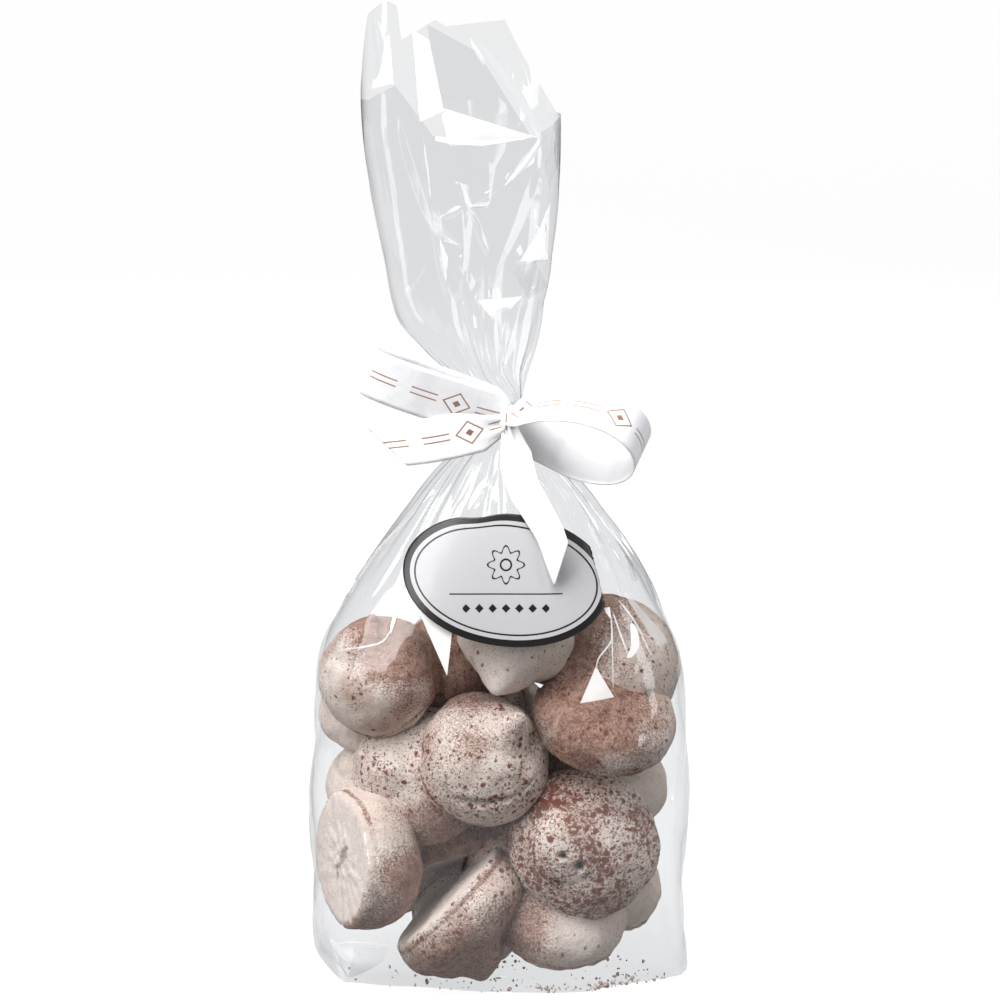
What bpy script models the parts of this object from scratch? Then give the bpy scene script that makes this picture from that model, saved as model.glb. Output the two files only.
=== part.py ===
"""A clear film bag of meringues that stands on a table, tied at the neck with a ribbon in a bow, with an oval label.

The bag is one closed solid of the filled bag's outer shape. The ribbon and the label are solids of their own.
Metres, +Z up, the front towards -Y, the origin on the table under the middle of the bag.
"""

import math

import bmesh
import bpy
import numpy as np
from mathutils import Vector

MM = 0.001
GAP = 0.3 * MM  # between pieces that touch

# Filled bag: at each height, the left and right edges, half the depth, and how square the corners are.
BODY = {
    "z": [0, 4, 12, 30, 61, 88, 103, 116, 133, 151.5, 161.5, 169, 173],
    "left": [-50, -54.5, -57, -58.6, -58.8, -57.1, -55.5, -50.6, -40.6, -27.6, -18.5, -8.5, -2.6],
    "right": [57.4, 59.4, 59, 57.4, 59.2, 58.2, 56.8, 51.8, 44, 31.5, 21.5, 12.5, 8],
    "deep": [27, 30, 32, 34, 35, 35, 34, 32, 28, 21, 15, 8.5, 5.3],
    "square": [2.7, 2.9, 3.1, 3.3, 3.3, 3.2, 3, 2.8, 2.5, 2.3, 2.1, 2, 2],
}
# Loose film above the tie, the same four measures.
TAIL = {
    "z": [173, 180.5, 189, 195.5, 208, 224, 243.5, 271, 303],
    "left": [-2.6, -2.6, -17, -24, -32, -35, -38.7, -41.8, -41.4],
    "right": [8, 8, 9.4, 10.8, 14, 15.4, 17.6, 19.4, 20.4],
    "deep": [5.3, 5.3, 8, 10, 13, 15, 17, 18, 18],
    "square": [2, 2, 2, 2.1, 2.3, 2.5, 2.6, 2.7, 2.7],
}
NECK_LOW, NECK_HIGH = 173 * MM, 180.5 * MM
# Height of the open rim round the tail, by angle from the right, seen from above, anticlockwise.
RIM_TURN = [0, 62, 114, 132, 143, 166, 177, 200, 235, 270, 310, 360]
RIM_HIGH = [268.3, 294.8, 295.5, 290, 301.5, 297.5, 272.5, 272.5, 278.4, 276, 273, 268.3]
RIM_SINK = 11 * MM  # how far the film is open at the top
RIM_WALL = 0.86  # the opening, as a share of the tail's width
AROUND = 84
BODY_ROWS, NECK_ROWS, TAIL_ROWS = 40, 2, 17
PLEATS = (7, 11)
PLEAT_DEPTH = 0.13  # share of the radius, at its deepest

# Satin ribbon
RIBBON_WIDE = 15 * MM
RIBBON_THICK = 0.7 * MM
RIBBON_LANES = 5  # points across its width
TIE_AT = Vector((2.7, 0, 176.7)) * MM
TIE_INSIDE = 5.3 * MM + 1.2 * GAP
TIE_THICK = 1.1 * MM
TIE_HIGH = 6 * MM
KNOT_AT = Vector((3.2, -8.4, 176.2)) * MM
KNOT_SIZE = Vector((3.9, 2.6, 4.4)) * MM
LEFT_LOOP = {"long": 45 * MM, "deep": 4.8 * MM, "along": (-0.93, -0.13, 0.33), "across": (0.31, -0.17, 0.93)}
RIGHT_LOOP = {"long": 43 * MM, "deep": 15.6 * MM, "along": (0.93, -0.32, -0.16), "across": (0.0, 0.766, 0.643)}

# Paper label
LABEL_AT = (2.3 * MM, 129.7 * MM)
LABEL_HALF = (31.2 * MM, 19.4 * MM)
LABEL_TURN = math.radians(-7.3)
LABEL_THICK = 0.4 * MM


def curve(x, xs, ys):
    """A smooth line through (xs, ys) that never overshoots: Hermite cubics with harmonic-mean slopes."""
    xs, ys = np.asarray(xs, float), np.asarray(ys, float)
    step = np.diff(xs)
    rise = np.diff(ys) / step
    before, after = rise[:-1], rise[1:]
    same = before * after > 0
    total = np.where(same, before + after, 1.0)
    slope = np.concatenate(([rise[0]], np.where(same, 2 * before * after / total, 0.0), [rise[-1]]))
    i = np.clip(np.searchsorted(xs, x, side="right") - 1, 0, len(xs) - 2)
    t = np.clip((x - xs[i]) / step[i], 0, 1)
    return (
        ys[i] * (1 + 2 * t) * (1 - t) ** 2
        + ys[i + 1] * t * t * (3 - 2 * t)
        + step[i] * (slope[i] * t * (1 - t) ** 2 - slope[i + 1] * t * t * (1 - t))
    )


def section(z):
    """Middle in X, half width, half depth and corner power of the film at height z."""
    high = z > NECK_LOW
    values = []
    for name in ("left", "right", "deep", "square"):
        low = curve(z / MM, BODY["z"], BODY[name])
        top = curve(z / MM, TAIL["z"], TAIL[name])
        values.append(np.where(high, top, low))
    left, right, deep, square = values
    return (left + right) / 2 * MM, (right - left) / 2 * MM, deep * MM, square


def fold(x):
    """Triangle wave of period 1, from -1 to 1: flat sides and sharp creases, as film folds."""
    return 4 * np.abs(x - np.floor(x + 0.5)) - 1


def pleats(turn, z):
    """How far pleats and creases draw the film in, as a share of its radius."""
    t = turn / (2 * math.pi)
    gathered = 0.6 * fold(PLEATS[0] * t + 0.13) + 0.4 * fold(PLEATS[1] * t + 0.4 + 0.12 * np.sin(turn))
    strength = curve(z / MM, [0, 101, 126, 151, 167, 173, 180.5, 187, 201, 303], [0, 0, 0.3, 0.8, 1, 0, 0, 0.9, 1.1, 0.8])
    crumple = 0.5 * fold(3 * t + z / (47 * MM)) + 0.5 * fold(5 * t - z / (61 * MM) + 0.3)
    slack = curve(z / MM, [0, 14, 40, 110, 160, 300], [0, 0.3, 1, 1, 0, 0])
    return PLEAT_DEPTH * strength * (0.5 - 0.5 * gathered) + 0.022 * slack * (0.5 - 0.5 * crumple)


def film(turn, z, scale=1.0):
    """A point on the film: a rounded box section at height z, drawn in by the pleats and creases."""
    middle, wide, deep, square = section(z)
    c, s = np.cos(turn), np.sin(turn)
    radius = (np.abs(c / wide) ** square + np.abs(s / deep) ** square) ** (-1 / square)
    radius = radius * (1 - pleats(turn, z)) * scale
    return np.stack([middle + radius * c, radius * s, z + 0 * turn], axis=-1)


def even_turns(count):
    """Angles that space points evenly along the bag's widest section."""
    fine = np.linspace(0, 2 * math.pi, 4001)
    line = film(fine, np.full(fine.shape, 0.06))
    length = np.concatenate(([0], np.cumsum(np.linalg.norm(np.diff(line, axis=0), axis=1))))
    return np.interp(np.arange(count) / count * length[-1], length, fine)


def mesh_object(name, points, faces):
    """A mesh object from points and faces, its faces turned outwards."""
    mesh = bpy.data.meshes.new(name)
    mesh.from_pydata([tuple(p) for p in points], [], faces)
    shape = bmesh.new()
    shape.from_mesh(mesh)
    bmesh.ops.recalc_face_normals(shape, faces=shape.faces)
    shape.to_mesh(mesh)
    shape.free()
    item = bpy.data.objects.new(name, mesh)
    bpy.context.scene.collection.objects.link(item)
    return item


def rings_to_solid(name, rings, first, last):
    """A closed skin over a stack of rings of equal count, with a pole at each end."""
    count = len(rings[0])
    points = [p for ring in rings for p in ring] + [first, last]
    faces = []
    for r in range(len(rings) - 1):
        for k in range(count):
            n = (k + 1) % count
            faces.append((r * count + k, r * count + n, (r + 1) * count + n, (r + 1) * count + k))
    start, end = len(points) - 2, len(points) - 1
    top = (len(rings) - 1) * count
    for k in range(count):
        n = (k + 1) % count
        faces.append((start, n, k))
        faces.append((end, top + k, top + n))
    return mesh_object(name, points, faces)


def make_bag():
    """Base, body, neck and tail in one stack of rings, sunk at the open rim."""
    turn = even_turns(AROUND)
    flat = np.ones(AROUND)
    rings = [film(turn, 0 * flat, 0.975)]
    for k in range(BODY_ROWS + 1):
        share = k / BODY_ROWS
        rings.append(film(turn, (0.9 * MM + (NECK_LOW - 0.9 * MM) * share**0.85) * flat))
    for k in range(1, NECK_ROWS + 1):
        rings.append(film(turn, (NECK_LOW + (NECK_HIGH - NECK_LOW) * k / NECK_ROWS) * flat))
    rim = np.interp(np.degrees(turn), RIM_TURN, RIM_HIGH) * MM
    for k in range(1, TAIL_ROWS + 1):
        rings.append(film(turn, NECK_HIGH + (rim - NECK_HIGH) * (k / TAIL_ROWS) ** 1.1))
    inner = film(turn, rim - 0.7 * MM, RIM_WALL + 0.04)
    rings.append(inner)
    floor = film(turn, rim, RIM_WALL * 0.93)
    floor[:, 2] = rim - RIM_SINK
    rings.append(floor)
    middle = section(np.array([0.0, 0.262]))[0]
    base = (middle[0], 0, 0)
    sunk = (middle[1], 0, min(RIM_HIGH) * MM - RIM_SINK)
    return rings_to_solid("bag", rings, base, sunk)


def front(x, z):
    """The front of the bag's smooth outer shape, in Y, at x and height z."""
    middle, wide, deep, square = section(z)
    share = np.clip(np.abs(x - middle) / wide, 0, 1)
    return -deep * (1 - share**square) ** (1 / square)


def make_label():
    """An oval of card laid on the front of the bag."""
    spokes, rings = 48, 6
    turn = np.arange(spokes) / spokes * 2 * math.pi
    sides = []
    for lift in (1.8 * GAP, 1.8 * GAP + LABEL_THICK):
        points = []
        for k in range(rings, -1, -1):
            share = k / rings
            u, v = share * LABEL_HALF[0] * np.cos(turn), share * LABEL_HALF[1] * np.sin(turn)
            x = LABEL_AT[0] + u * math.cos(LABEL_TURN) - v * math.sin(LABEL_TURN)
            z = LABEL_AT[1] + u * math.sin(LABEL_TURN) + v * math.cos(LABEL_TURN)
            ring = np.stack([x, front(x, z) - lift, z], axis=-1)
            points.append(ring if k else ring[0])
        sides.append(points)
    back, face = sides
    return rings_to_solid("label", back[-2::-1] + face[:-1], back[-1], face[-1])


def clear_of_film(points, gap):
    """Points inside the film, or nearer to it than gap, move level outwards until they are clear of it."""
    middle, wide, deep, square = section(points[..., 2])
    x, y = points[..., 0] - middle, points[..., 1]
    share = (np.abs(x / wide) ** square + np.abs(y / deep) ** square) ** (1 / square)
    grow = np.maximum(1, (1 + gap / np.minimum(wide, deep)) / share)
    return np.stack([middle + x * grow, y * grow, points[..., 2]], axis=-1)


def strip(name, line, across, wide, cut=0.0, gap=2.2 * GAP):
    """A flat ribbon of oblong section along a line, its width along across, one edge longer by cut at the end."""
    line, across, wide = np.asarray(line), np.asarray(across, float), np.asarray(wide)
    ahead = np.gradient(line, axis=0)
    ahead = ahead / np.linalg.norm(ahead, axis=1, keepdims=True)
    across = across - ahead * np.sum(across * ahead, axis=1, keepdims=True)
    across = across / np.linalg.norm(across, axis=1, keepdims=True)
    out = np.cross(ahead, across)
    slide = ahead * (cut / 2 * np.linspace(0, 1, len(line)) ** 4)[:, None]
    half = across * wide[:, None] / 2 + slide
    lanes = np.linspace(-1, 1, RIBBON_LANES)[None, :, None]
    face = clear_of_film(line[:, None, :] + half[:, None, :] * lanes, gap + RIBBON_THICK / 2)
    lift = out[:, None, :] * RIBBON_THICK / 2
    rings = list(np.concatenate((face - lift, (face + lift)[:, ::-1]), axis=1))
    return rings_to_solid(name, rings, rings[0].mean(axis=0), rings[-1].mean(axis=0))


def loop(name, shape, steps=36):
    """A bow's loop: out from the knot, round and back, as a teardrop, narrow where the knot gathers it."""
    along = Vector(shape["along"]).normalized()
    across = Vector(shape["across"])
    across = (across - along * across.dot(along)).normalized()
    side = along.cross(across)
    if side.y > 0:
        side = -side
    share = np.linspace(0.035, 0.965, steps)
    out = (0.5 - 0.5 * np.cos(2 * math.pi * share)) * shape["long"]
    apart = np.sin(2 * math.pi * share) * np.sin(math.pi * share) ** 0.6 * shape["deep"]
    line = np.array(KNOT_AT) + out[:, None] * np.array(along) + apart[:, None] * np.array(side)
    near = np.minimum(share, 1 - share)
    wide = RIBBON_WIDE * np.clip(0.32 + near / 0.17, 0, 1)
    return strip(name, line, np.tile(np.array(across), (steps, 1)), wide)


def tail_line(stops, steps):
    """A smooth line through a few stops given in millimetres."""
    stops = np.array(stops, float)
    at = np.concatenate(([0], np.cumsum(np.linalg.norm(np.diff(stops, axis=0), axis=1))))
    fine = np.linspace(0, at[-1], steps)
    return np.stack([curve(fine, at, stops[:, k]) for k in range(3)], axis=-1) * MM


def make_ribbon():
    """Tie, knot, two loops and two ends, joined in one solid."""
    parts = []
    turn = np.arange(40) / 40 * 2 * math.pi
    corners = []
    for radius, height in ((0, -1), (1, -1), (1, 1), (0, 1)):
        size = TIE_INSIDE + radius * TIE_THICK
        z = np.full(40, height * TIE_HIGH / 2)
        corners.append(np.stack([size * np.cos(turn), size * np.sin(turn), z], axis=-1) + np.array(TIE_AT))
    points = [p for ring in corners for p in ring]
    faces = [
        (r * 40 + k, r * 40 + (k + 1) % 40, (r + 1) % 4 * 40 + (k + 1) % 40, (r + 1) % 4 * 40 + k)
        for r in range(4)
        for k in range(40)
    ]
    parts.append(mesh_object("tie", points, faces))
    knot = bmesh.new()
    bmesh.ops.create_icosphere(knot, subdivisions=2, radius=1)
    for vertex in knot.verts:
        box = Vector([math.copysign(abs(c) ** 0.7, c) for c in vertex.co])
        vertex.co = KNOT_AT + Vector([a * b for a, b in zip(box, KNOT_SIZE)])
    shape = bpy.data.meshes.new("knot")
    knot.to_mesh(shape)
    knot.free()
    item = bpy.data.objects.new("knot", shape)
    bpy.context.scene.collection.objects.link(item)
    parts.append(item)
    parts.append(loop("left_loop", LEFT_LOOP))
    parts.append(loop("right_loop", RIGHT_LOOP))

    # The end that lies out to the left
    steps = 16
    line = tail_line([(2.5, -9.5, 175), (-9, -13, 172.3), (-21.5, -15.5, 170.1), (-34, -16.5, 168.8)], steps)
    across = np.tile([0.2, -0.32, 0.92], (steps, 1))
    wide = RIBBON_WIDE * np.clip(0.4 + np.linspace(0, 2.2, steps), 0, 0.9)
    parts.append(strip("left_end", line, across, wide, 11.5 * MM))

    # The end that hangs down the front, turned part edge on
    stops = [(3.6, -9.5, 174), (7.5, -20, 157), (11.7, -25, 149.7), (15, -28.5, 143.4), (18, -34, 132)]
    line = tail_line(stops, steps)
    across = np.linspace([0.75, -0.2, 0.3], [0.66, -0.62, 0.18], steps)
    wide = RIBBON_WIDE * np.clip(0.4 + np.linspace(0, 2.2, steps), 0, 0.8)
    parts.append(strip("front_end", line, across, wide, -9 * MM, 4 * GAP + LABEL_THICK))
    return unite("ribbon", parts)


def unite(name, parts):
    """One solid from several that overlap."""
    group = bpy.data.collections.new("parts")
    bpy.context.scene.collection.children.link(group)
    whole, rest = parts[0], parts[1:]
    for item in rest:
        group.objects.link(item)
    join = whole.modifiers.new("join", "BOOLEAN")
    join.operation = "UNION"
    join.operand_type = "COLLECTION"
    join.collection = group
    join.solver = "EXACT"
    done = bpy.data.meshes.new_from_object(whole.evaluated_get(bpy.context.evaluated_depsgraph_get()))
    whole.modifiers.clear()
    whole.data = done
    whole.name = name
    done.name = name
    for item in rest:
        bpy.data.objects.remove(item, do_unlink=True)
    bpy.data.collections.remove(group)
    return whole


def paint(item, name, color, rough):
    """A plain finish for one piece."""
    finish = bpy.data.materials.new(name)
    finish.use_nodes = True
    shader = finish.node_tree.nodes["Principled BSDF"]
    shader.inputs["Base Color"].default_value = (*color, 1)
    shader.inputs["Roughness"].default_value = rough
    item.data.materials.clear()
    item.data.materials.append(finish)


for item in list(bpy.data.objects):
    bpy.data.objects.remove(item, do_unlink=True)
paint(make_bag(), "film_and_meringue", (0.80, 0.76, 0.71), 0.35)
paint(make_ribbon(), "satin_ribbon", (0.93, 0.93, 0.95), 0.45)
paint(make_label(), "label_paper", (0.86, 0.86, 0.86), 0.5)
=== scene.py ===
# %% [markdown]
# # Clear bag of meringues with a ribbon bow
# A clear film bag stands on its flat base, full of piped meringues dusted with cocoa. A satin ribbon ties
# its neck in a bow, loose film fans out above, and an oval paper label sits on the shoulder. The packed
# solids give the place of everything: the bag solid becomes film with the meringues in it.

import math

import bpy
import numpy as np
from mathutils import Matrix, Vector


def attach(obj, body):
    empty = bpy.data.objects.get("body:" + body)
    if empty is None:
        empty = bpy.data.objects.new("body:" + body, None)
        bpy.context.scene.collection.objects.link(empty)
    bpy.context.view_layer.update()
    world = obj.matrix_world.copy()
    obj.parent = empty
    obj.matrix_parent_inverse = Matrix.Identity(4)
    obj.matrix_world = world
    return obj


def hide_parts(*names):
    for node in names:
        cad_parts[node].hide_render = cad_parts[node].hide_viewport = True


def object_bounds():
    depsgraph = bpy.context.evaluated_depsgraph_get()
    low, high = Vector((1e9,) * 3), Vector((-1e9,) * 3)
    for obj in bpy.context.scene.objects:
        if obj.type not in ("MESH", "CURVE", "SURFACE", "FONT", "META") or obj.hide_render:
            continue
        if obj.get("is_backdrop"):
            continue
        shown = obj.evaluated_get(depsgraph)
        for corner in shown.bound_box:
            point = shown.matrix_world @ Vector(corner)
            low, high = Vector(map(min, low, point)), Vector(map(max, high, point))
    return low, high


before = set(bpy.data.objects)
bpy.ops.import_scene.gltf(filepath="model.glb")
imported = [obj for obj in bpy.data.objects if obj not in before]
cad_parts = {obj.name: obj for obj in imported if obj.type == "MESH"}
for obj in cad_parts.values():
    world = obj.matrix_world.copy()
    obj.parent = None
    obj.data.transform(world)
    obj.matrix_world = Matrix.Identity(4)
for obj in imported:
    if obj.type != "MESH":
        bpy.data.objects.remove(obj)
cad_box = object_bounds()
MM = 0.001
scene = bpy.context.scene
print("CAD box, mm", [[round(c * 1000, 1) for c in p] for p in cad_box])

# %% [markdown]
# ## Camera
# The photo is taken from the front with a long lens, a little from above: the base's front edge bows down.
# A picture 306 mm wide at the bag's middle is 1000 pixels of the photo.

# %% Camera
DISTANCE = 1.35
TILT = math.radians(8)
VIEW_WIDE = 0.306
SENSOR = 36
AIM = np.array([0.0005, 0, 0.1499])
camera_data = bpy.data.cameras.new("camera")
camera_data.sensor_width = SENSOR
camera_data.lens = SENSOR / 2 / (VIEW_WIDE / 2 / DISTANCE)
camera = bpy.data.objects.new("camera", camera_data)
scene.collection.objects.link(camera)
camera.location = AIM + DISTANCE * np.array([0, -math.cos(TILT), math.sin(TILT)])
camera.rotation_euler = (math.pi / 2 - TILT, 0, 0)
camera_data.clip_end = 20
scene.camera = camera
print("lens, mm", round(camera_data.lens, 1))

# %% [markdown]
# ## Helpers for surfaces
# Noise and triangle waves give the shapes their unevenness, and grids of points become meshes whose faces
# look outwards. Everything is made as whole arrays.


# %% Surface helpers
def curve(x, xs, ys):
    """A smooth line through (xs, ys) that never overshoots: Hermite cubics with harmonic-mean slopes."""
    xs, ys = np.asarray(xs, float), np.asarray(ys, float)
    step = np.diff(xs)
    rise = np.diff(ys) / step
    before, after = rise[:-1], rise[1:]
    same = before * after > 0
    total = np.where(same, before + after, 1.0)
    slope = np.concatenate(([rise[0]], np.where(same, 2 * before * after / total, 0.0), [rise[-1]]))
    i = np.clip(np.searchsorted(xs, x, side="right") - 1, 0, len(xs) - 2)
    t = np.clip((x - xs[i]) / step[i], 0, 1)
    return (
        ys[i] * (1 + 2 * t) * (1 - t) ** 2
        + ys[i + 1] * t * t * (3 - 2 * t)
        + step[i] * (slope[i] * t * (1 - t) ** 2 - slope[i + 1] * t * t * (1 - t))
    )


def run_along(line):
    """Distance from a line's first point, along it, to each of its points."""
    return np.concatenate(([0], np.cumsum(np.linalg.norm(np.diff(line, axis=0), axis=1))))


def through(stops, steps):
    """A smooth line, its points evenly apart, through a few stops given in millimetres."""
    stops = np.array(stops, float)
    at = run_along(stops)
    fine = np.linspace(0, at[-1], steps)
    return np.stack([curve(fine, at, stops[:, k]) for k in range(stops.shape[1])], axis=-1) * MM


def turns(count):
    """Evenly spaced angles of a full turn."""
    return np.arange(count) / count * 2 * math.pi


def all_ways(rows, columns):
    """Directions of length 1 on a grid: rows from straight up to straight down, columns round Z."""
    tall, round_ = (np.arange(rows) / (rows - 1) * math.pi)[:, None], turns(columns)[None, :]
    flat = np.sin(tall)
    return np.stack([flat * np.cos(round_), flat * np.sin(round_), np.cos(tall) + 0 * round_], axis=-1)


def fold(x):
    """Triangle wave of period 1, from -1 to 1: flat sides and sharp creases, as film folds."""
    return 4 * np.abs(x - np.floor(x + 0.5)) - 1


def noise(p, seed):
    """Smooth value noise from -1 to 1 at points p, one random value a unit cell, eased between corners."""
    table = np.random.RandomState(seed).uniform(-1, 1, (32, 32, 32))
    cell = np.floor(p).astype(int)
    t = p - cell
    t = t * t * t * (t * (6 * t - 15) + 10)
    total = 0
    for corner in range(8):
        step = np.array([corner & 1, corner >> 1 & 1, corner >> 2 & 1])
        at = (cell + step) % 32
        weight = np.prod(np.where(step == 1, t, 1 - t), axis=-1)
        total = total + weight * table[at[..., 0], at[..., 1], at[..., 2]]
    return total


def nearest(u, v, across, seed):
    """Squared distance to the nearest of a jittered grid of seeds, with period across along u."""
    table = np.random.RandomState(seed).uniform(0.12, 0.88, (across, 64, 2))
    cu, cv = np.floor(u).astype(int), np.floor(v).astype(int)
    best = np.full(u.shape, 9.0)
    for du in (-1, 0, 1):
        for dv in (-1, 0, 1):
            spot = table[(cu + du) % across, (cv + dv) % 64]
            gap = (cu + du + spot[..., 0] - u) ** 2 + (cv + dv + spot[..., 1] - v) ** 2
            best = np.minimum(best, gap)
    return best


def grid_faces(rows, columns, wrap):
    """Four-sided faces of a grid of points, closed round its columns if wrap is true."""
    r = np.arange(rows - 1)[:, None]
    c = np.arange(columns if wrap else columns - 1)[None, :]
    n = (c + 1) % columns
    below = r + 1
    faces = np.stack([r * columns + c, r * columns + n, below * columns + n, below * columns + c], axis=-1)
    return faces.reshape(-1, 4)


def joined(grids, wrap):
    """Points and faces of several grids of points as one mesh."""
    starts = np.cumsum([0] + [grid[..., 0].size for grid in grids])
    faces = [grid_faces(*grid.shape[:2], wrap) + start for grid, start in zip(grids, starts)]
    return np.concatenate([grid.reshape(-1, 3) for grid in grids]), np.concatenate(faces)


def add_object(name, data):
    """An object of the scene that holds a mesh or a light."""
    item = bpy.data.objects.new(name, data)
    scene.collection.objects.link(item)
    return item


def add_mesh(name, points, faces, material):
    """A smooth mesh in metres with one material."""
    mesh = bpy.data.meshes.new(name)
    mesh.from_pydata(np.asarray(points).reshape(-1, 3).tolist(), [], [list(f) for f in faces])
    mesh.polygons.foreach_set("use_smooth", np.full(len(mesh.polygons), True))
    mesh.materials.append(material)
    return add_object(name, mesh)


def add_piece(name, points, faces, material):
    """A mesh that is a piece of the part."""
    piece = add_mesh(name, points, faces, material)
    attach(piece, "root")
    return piece


def add_values(piece, name, values):
    """One number a point, which materials read by name."""
    layer = piece.data.attributes.new(name, "FLOAT", "POINT")
    layer.data.foreach_set("value", np.asarray(values, np.float32).ravel())


def add_uv(piece, uv):
    """A flat map in millimetres, given a point at a time."""
    corner = np.empty(len(piece.data.loops), int)
    piece.data.loops.foreach_get("vertex_index", corner)
    layer = piece.data.uv_layers.new(name="flat_mm")
    layer.data.foreach_set("uv", np.asarray(uv, np.float32).reshape(-1, 2)[corner].ravel())


# %% [markdown]
# ## Helpers for materials
# Colours are written as they look on a screen and turned into the linear values that light uses. One
# function adds a node with its settings and its links.


# %% Material helpers
def color(code):
    """Linear RGBA from a six-figure screen colour."""
    screen = np.array([int(code[i : i + 2], 16) / 255 for i in (0, 2, 4)])
    linear = np.where(screen <= 0.04045, screen / 12.92, ((screen + 0.055) / 1.055) ** 2.4)
    return (*linear.tolist(), 1.0)


def new_material(name):
    """A material with only its output node; returns it and its node tree."""
    material = bpy.data.materials.new(name)
    material.use_nodes = True
    tree = material.node_tree
    for old in list(tree.nodes):
        if old.type != "OUTPUT_MATERIAL":
            tree.nodes.remove(old)
    return material, tree


def add(tree, kind, inputs=(), **settings):
    """A shader node of that kind. settings are its properties; inputs are its sockets, by name or number or
    as a list in order, each a value, an output to link, or a node whose first output is linked."""
    item = tree.nodes.new("ShaderNode" + kind)
    for key, value in settings.items():
        setattr(item, key, value)
    for key, value in inputs.items() if isinstance(inputs, dict) else enumerate(inputs):
        if isinstance(value, bpy.types.Node):
            value = value.outputs[0]
        if isinstance(value, bpy.types.NodeSocket):
            tree.links.new(value, item.inputs[key])
        else:
            item.inputs[key].default_value = value
    return item


def finish_with(tree, shader):
    """Links a shader to the material's output."""
    output = next(n for n in tree.nodes if n.type == "OUTPUT_MATERIAL")
    tree.links.new(shader.outputs[0], output.inputs["Surface"])


# %% [markdown]
# ## Clear film
# The bag is oriented polypropylene film about 0.03 mm thick: two glossy faces, clear, faintly grey where
# sheets lie over one another. A sheet with no thickness is see-through with a grey tint, and mirrors more
# the flatter it is seen. Fine bumps stand for the crinkles that are smaller than the mesh. The base is
# folded from crumpled flaps and dusted inside: the mesh's base value takes its mirror and its grey off and
# makes it a little milky.
# A sharp fold scatters light too, and the folds' white value says how milky white they are: partly film
# lying double, partly painted highlight where the film would mirror a soft box.

# %% Film material
film_look, tree = new_material("clear_film_creased")
place = add(tree, "TexCoord").outputs["Object"]
crinkle = add(tree, "TexVoronoi", {"Vector": place, "Scale": 120.0}, feature="F1")
pucker = add(tree, "TexNoise", {"Vector": place, "Scale": 70.0, "Detail": 2.0})
relief = add(tree, "Math", [crinkle, 0.45, pucker], operation="MULTIPLY_ADD")
bump = add(tree, "Bump", {"Height": relief, "Strength": 0.25, "Distance": 0.0012})
facing = add(tree, "LayerWeight", {"Blend": 0.5, "Normal": bump}).outputs["Facing"]
base = add(tree, "Attribute", attribute_name="base").outputs["Fac"]
graze = add(tree, "Math", [facing, 5.0], operation="POWER")
mirror = add(tree, "Math", [graze, 0.85, 0.052], operation="MULTIPLY_ADD")
crumpled = add(tree, "Math", [base, -0.95, 1.0], operation="MULTIPLY_ADD")
mirror = add(tree, "Math", [mirror, crumpled], operation="MULTIPLY")
slant = add(tree, "Math", [facing, 3.0], operation="POWER")
slant = add(tree, "Math", [slant, crumpled], operation="MULTIPLY")
tint = add(tree, "Mix", {"Factor": slant, 6: color("F1F2F3"), 7: color("D1D1D3")}, data_type="RGBA")
clear = add(tree, "BsdfTransparent", {"Color": tint.outputs[2]})
gloss = add(
    tree,
    "BsdfPrincipled",
    {"Base Color": color("FAFBFC"), "Metallic": 1.0, "Roughness": 0.08, "Normal": bump},
)
sheet = add(tree, "MixShader", {"Fac": mirror, 1: clear, 2: gloss})
milky_and_highlight = add(tree, "BsdfPrincipled", {"Base Color": color("F4F3F2"), "Roughness": 0.45, "Normal": bump})
# Painted highlight: the folds' white value mixes in a lit white, partly for film lying double, partly where the
# film would mirror a soft box.
doubled_and_highlight = add(tree, "Attribute", attribute_name="doubled_and_highlight").outputs["Fac"]
milk_and_highlight = add(tree, "Math", [base, 0.06, doubled_and_highlight], operation="MULTIPLY_ADD")
finish_with(tree, add(tree, "MixShader", {"Fac": milk_and_highlight, 1: sheet, 2: milky_and_highlight}))

# %% [markdown]
# ## Form of the film
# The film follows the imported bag: a rounded box section at each height, drawn in by pleats towards the tie
# and loose above it. On top of that, taut film hangs in shallow dishes between straight ridges: the square
# of the distance to the nearest of some scattered points gives that shape, long towards the tie.

# %% Film form
# Seen from the front, the film's left and right edge at heights z, half its depth, all in mm, and the power
# that squares its section
BODY = {
    "z": [0, 4, 12, 30, 61, 88, 103, 116, 133, 151.5, 161.5, 169, 173],
    "left": [-47.5, -51.8, -57, -58.6, -58.8, -57.1, -55.5, -50.6, -40.6, -27.6, -18.5, -8.5, -2.6],
    "right": [57.4, 59.4, 59, 57.4, 59.2, 58.2, 56.8, 51.8, 44, 31.5, 21.5, 12.5, 8],
    "deep": [27, 30, 32, 34, 35, 35, 34, 32, 28, 21, 15, 8.5, 5.3],
    "square": [2.7, 2.9, 3.1, 3.3, 3.3, 3.2, 3, 2.8, 2.5, 2.3, 2.1, 2, 2],
}
TAIL = {
    "z": [173, 180.5, 189, 195.5, 208, 224, 243.5, 271, 303],
    "left": [-2.6, -2.6, -17, -24, -32, -35, -38.7, -41.8, -41.4],
    "right": [8, 8, 10.6, 13.2, 16.4, 18.2, 19.2, 19.8, 20.4],
    "deep": [5.3, 5.3, 8, 10, 13, 15, 17, 18, 18],
    "square": [2, 2, 2, 2.1, 2.3, 2.5, 2.6, 2.7, 2.7],
}
NECK_LOW, NECK_HIGH = 173 * MM, 180.5 * MM
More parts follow.
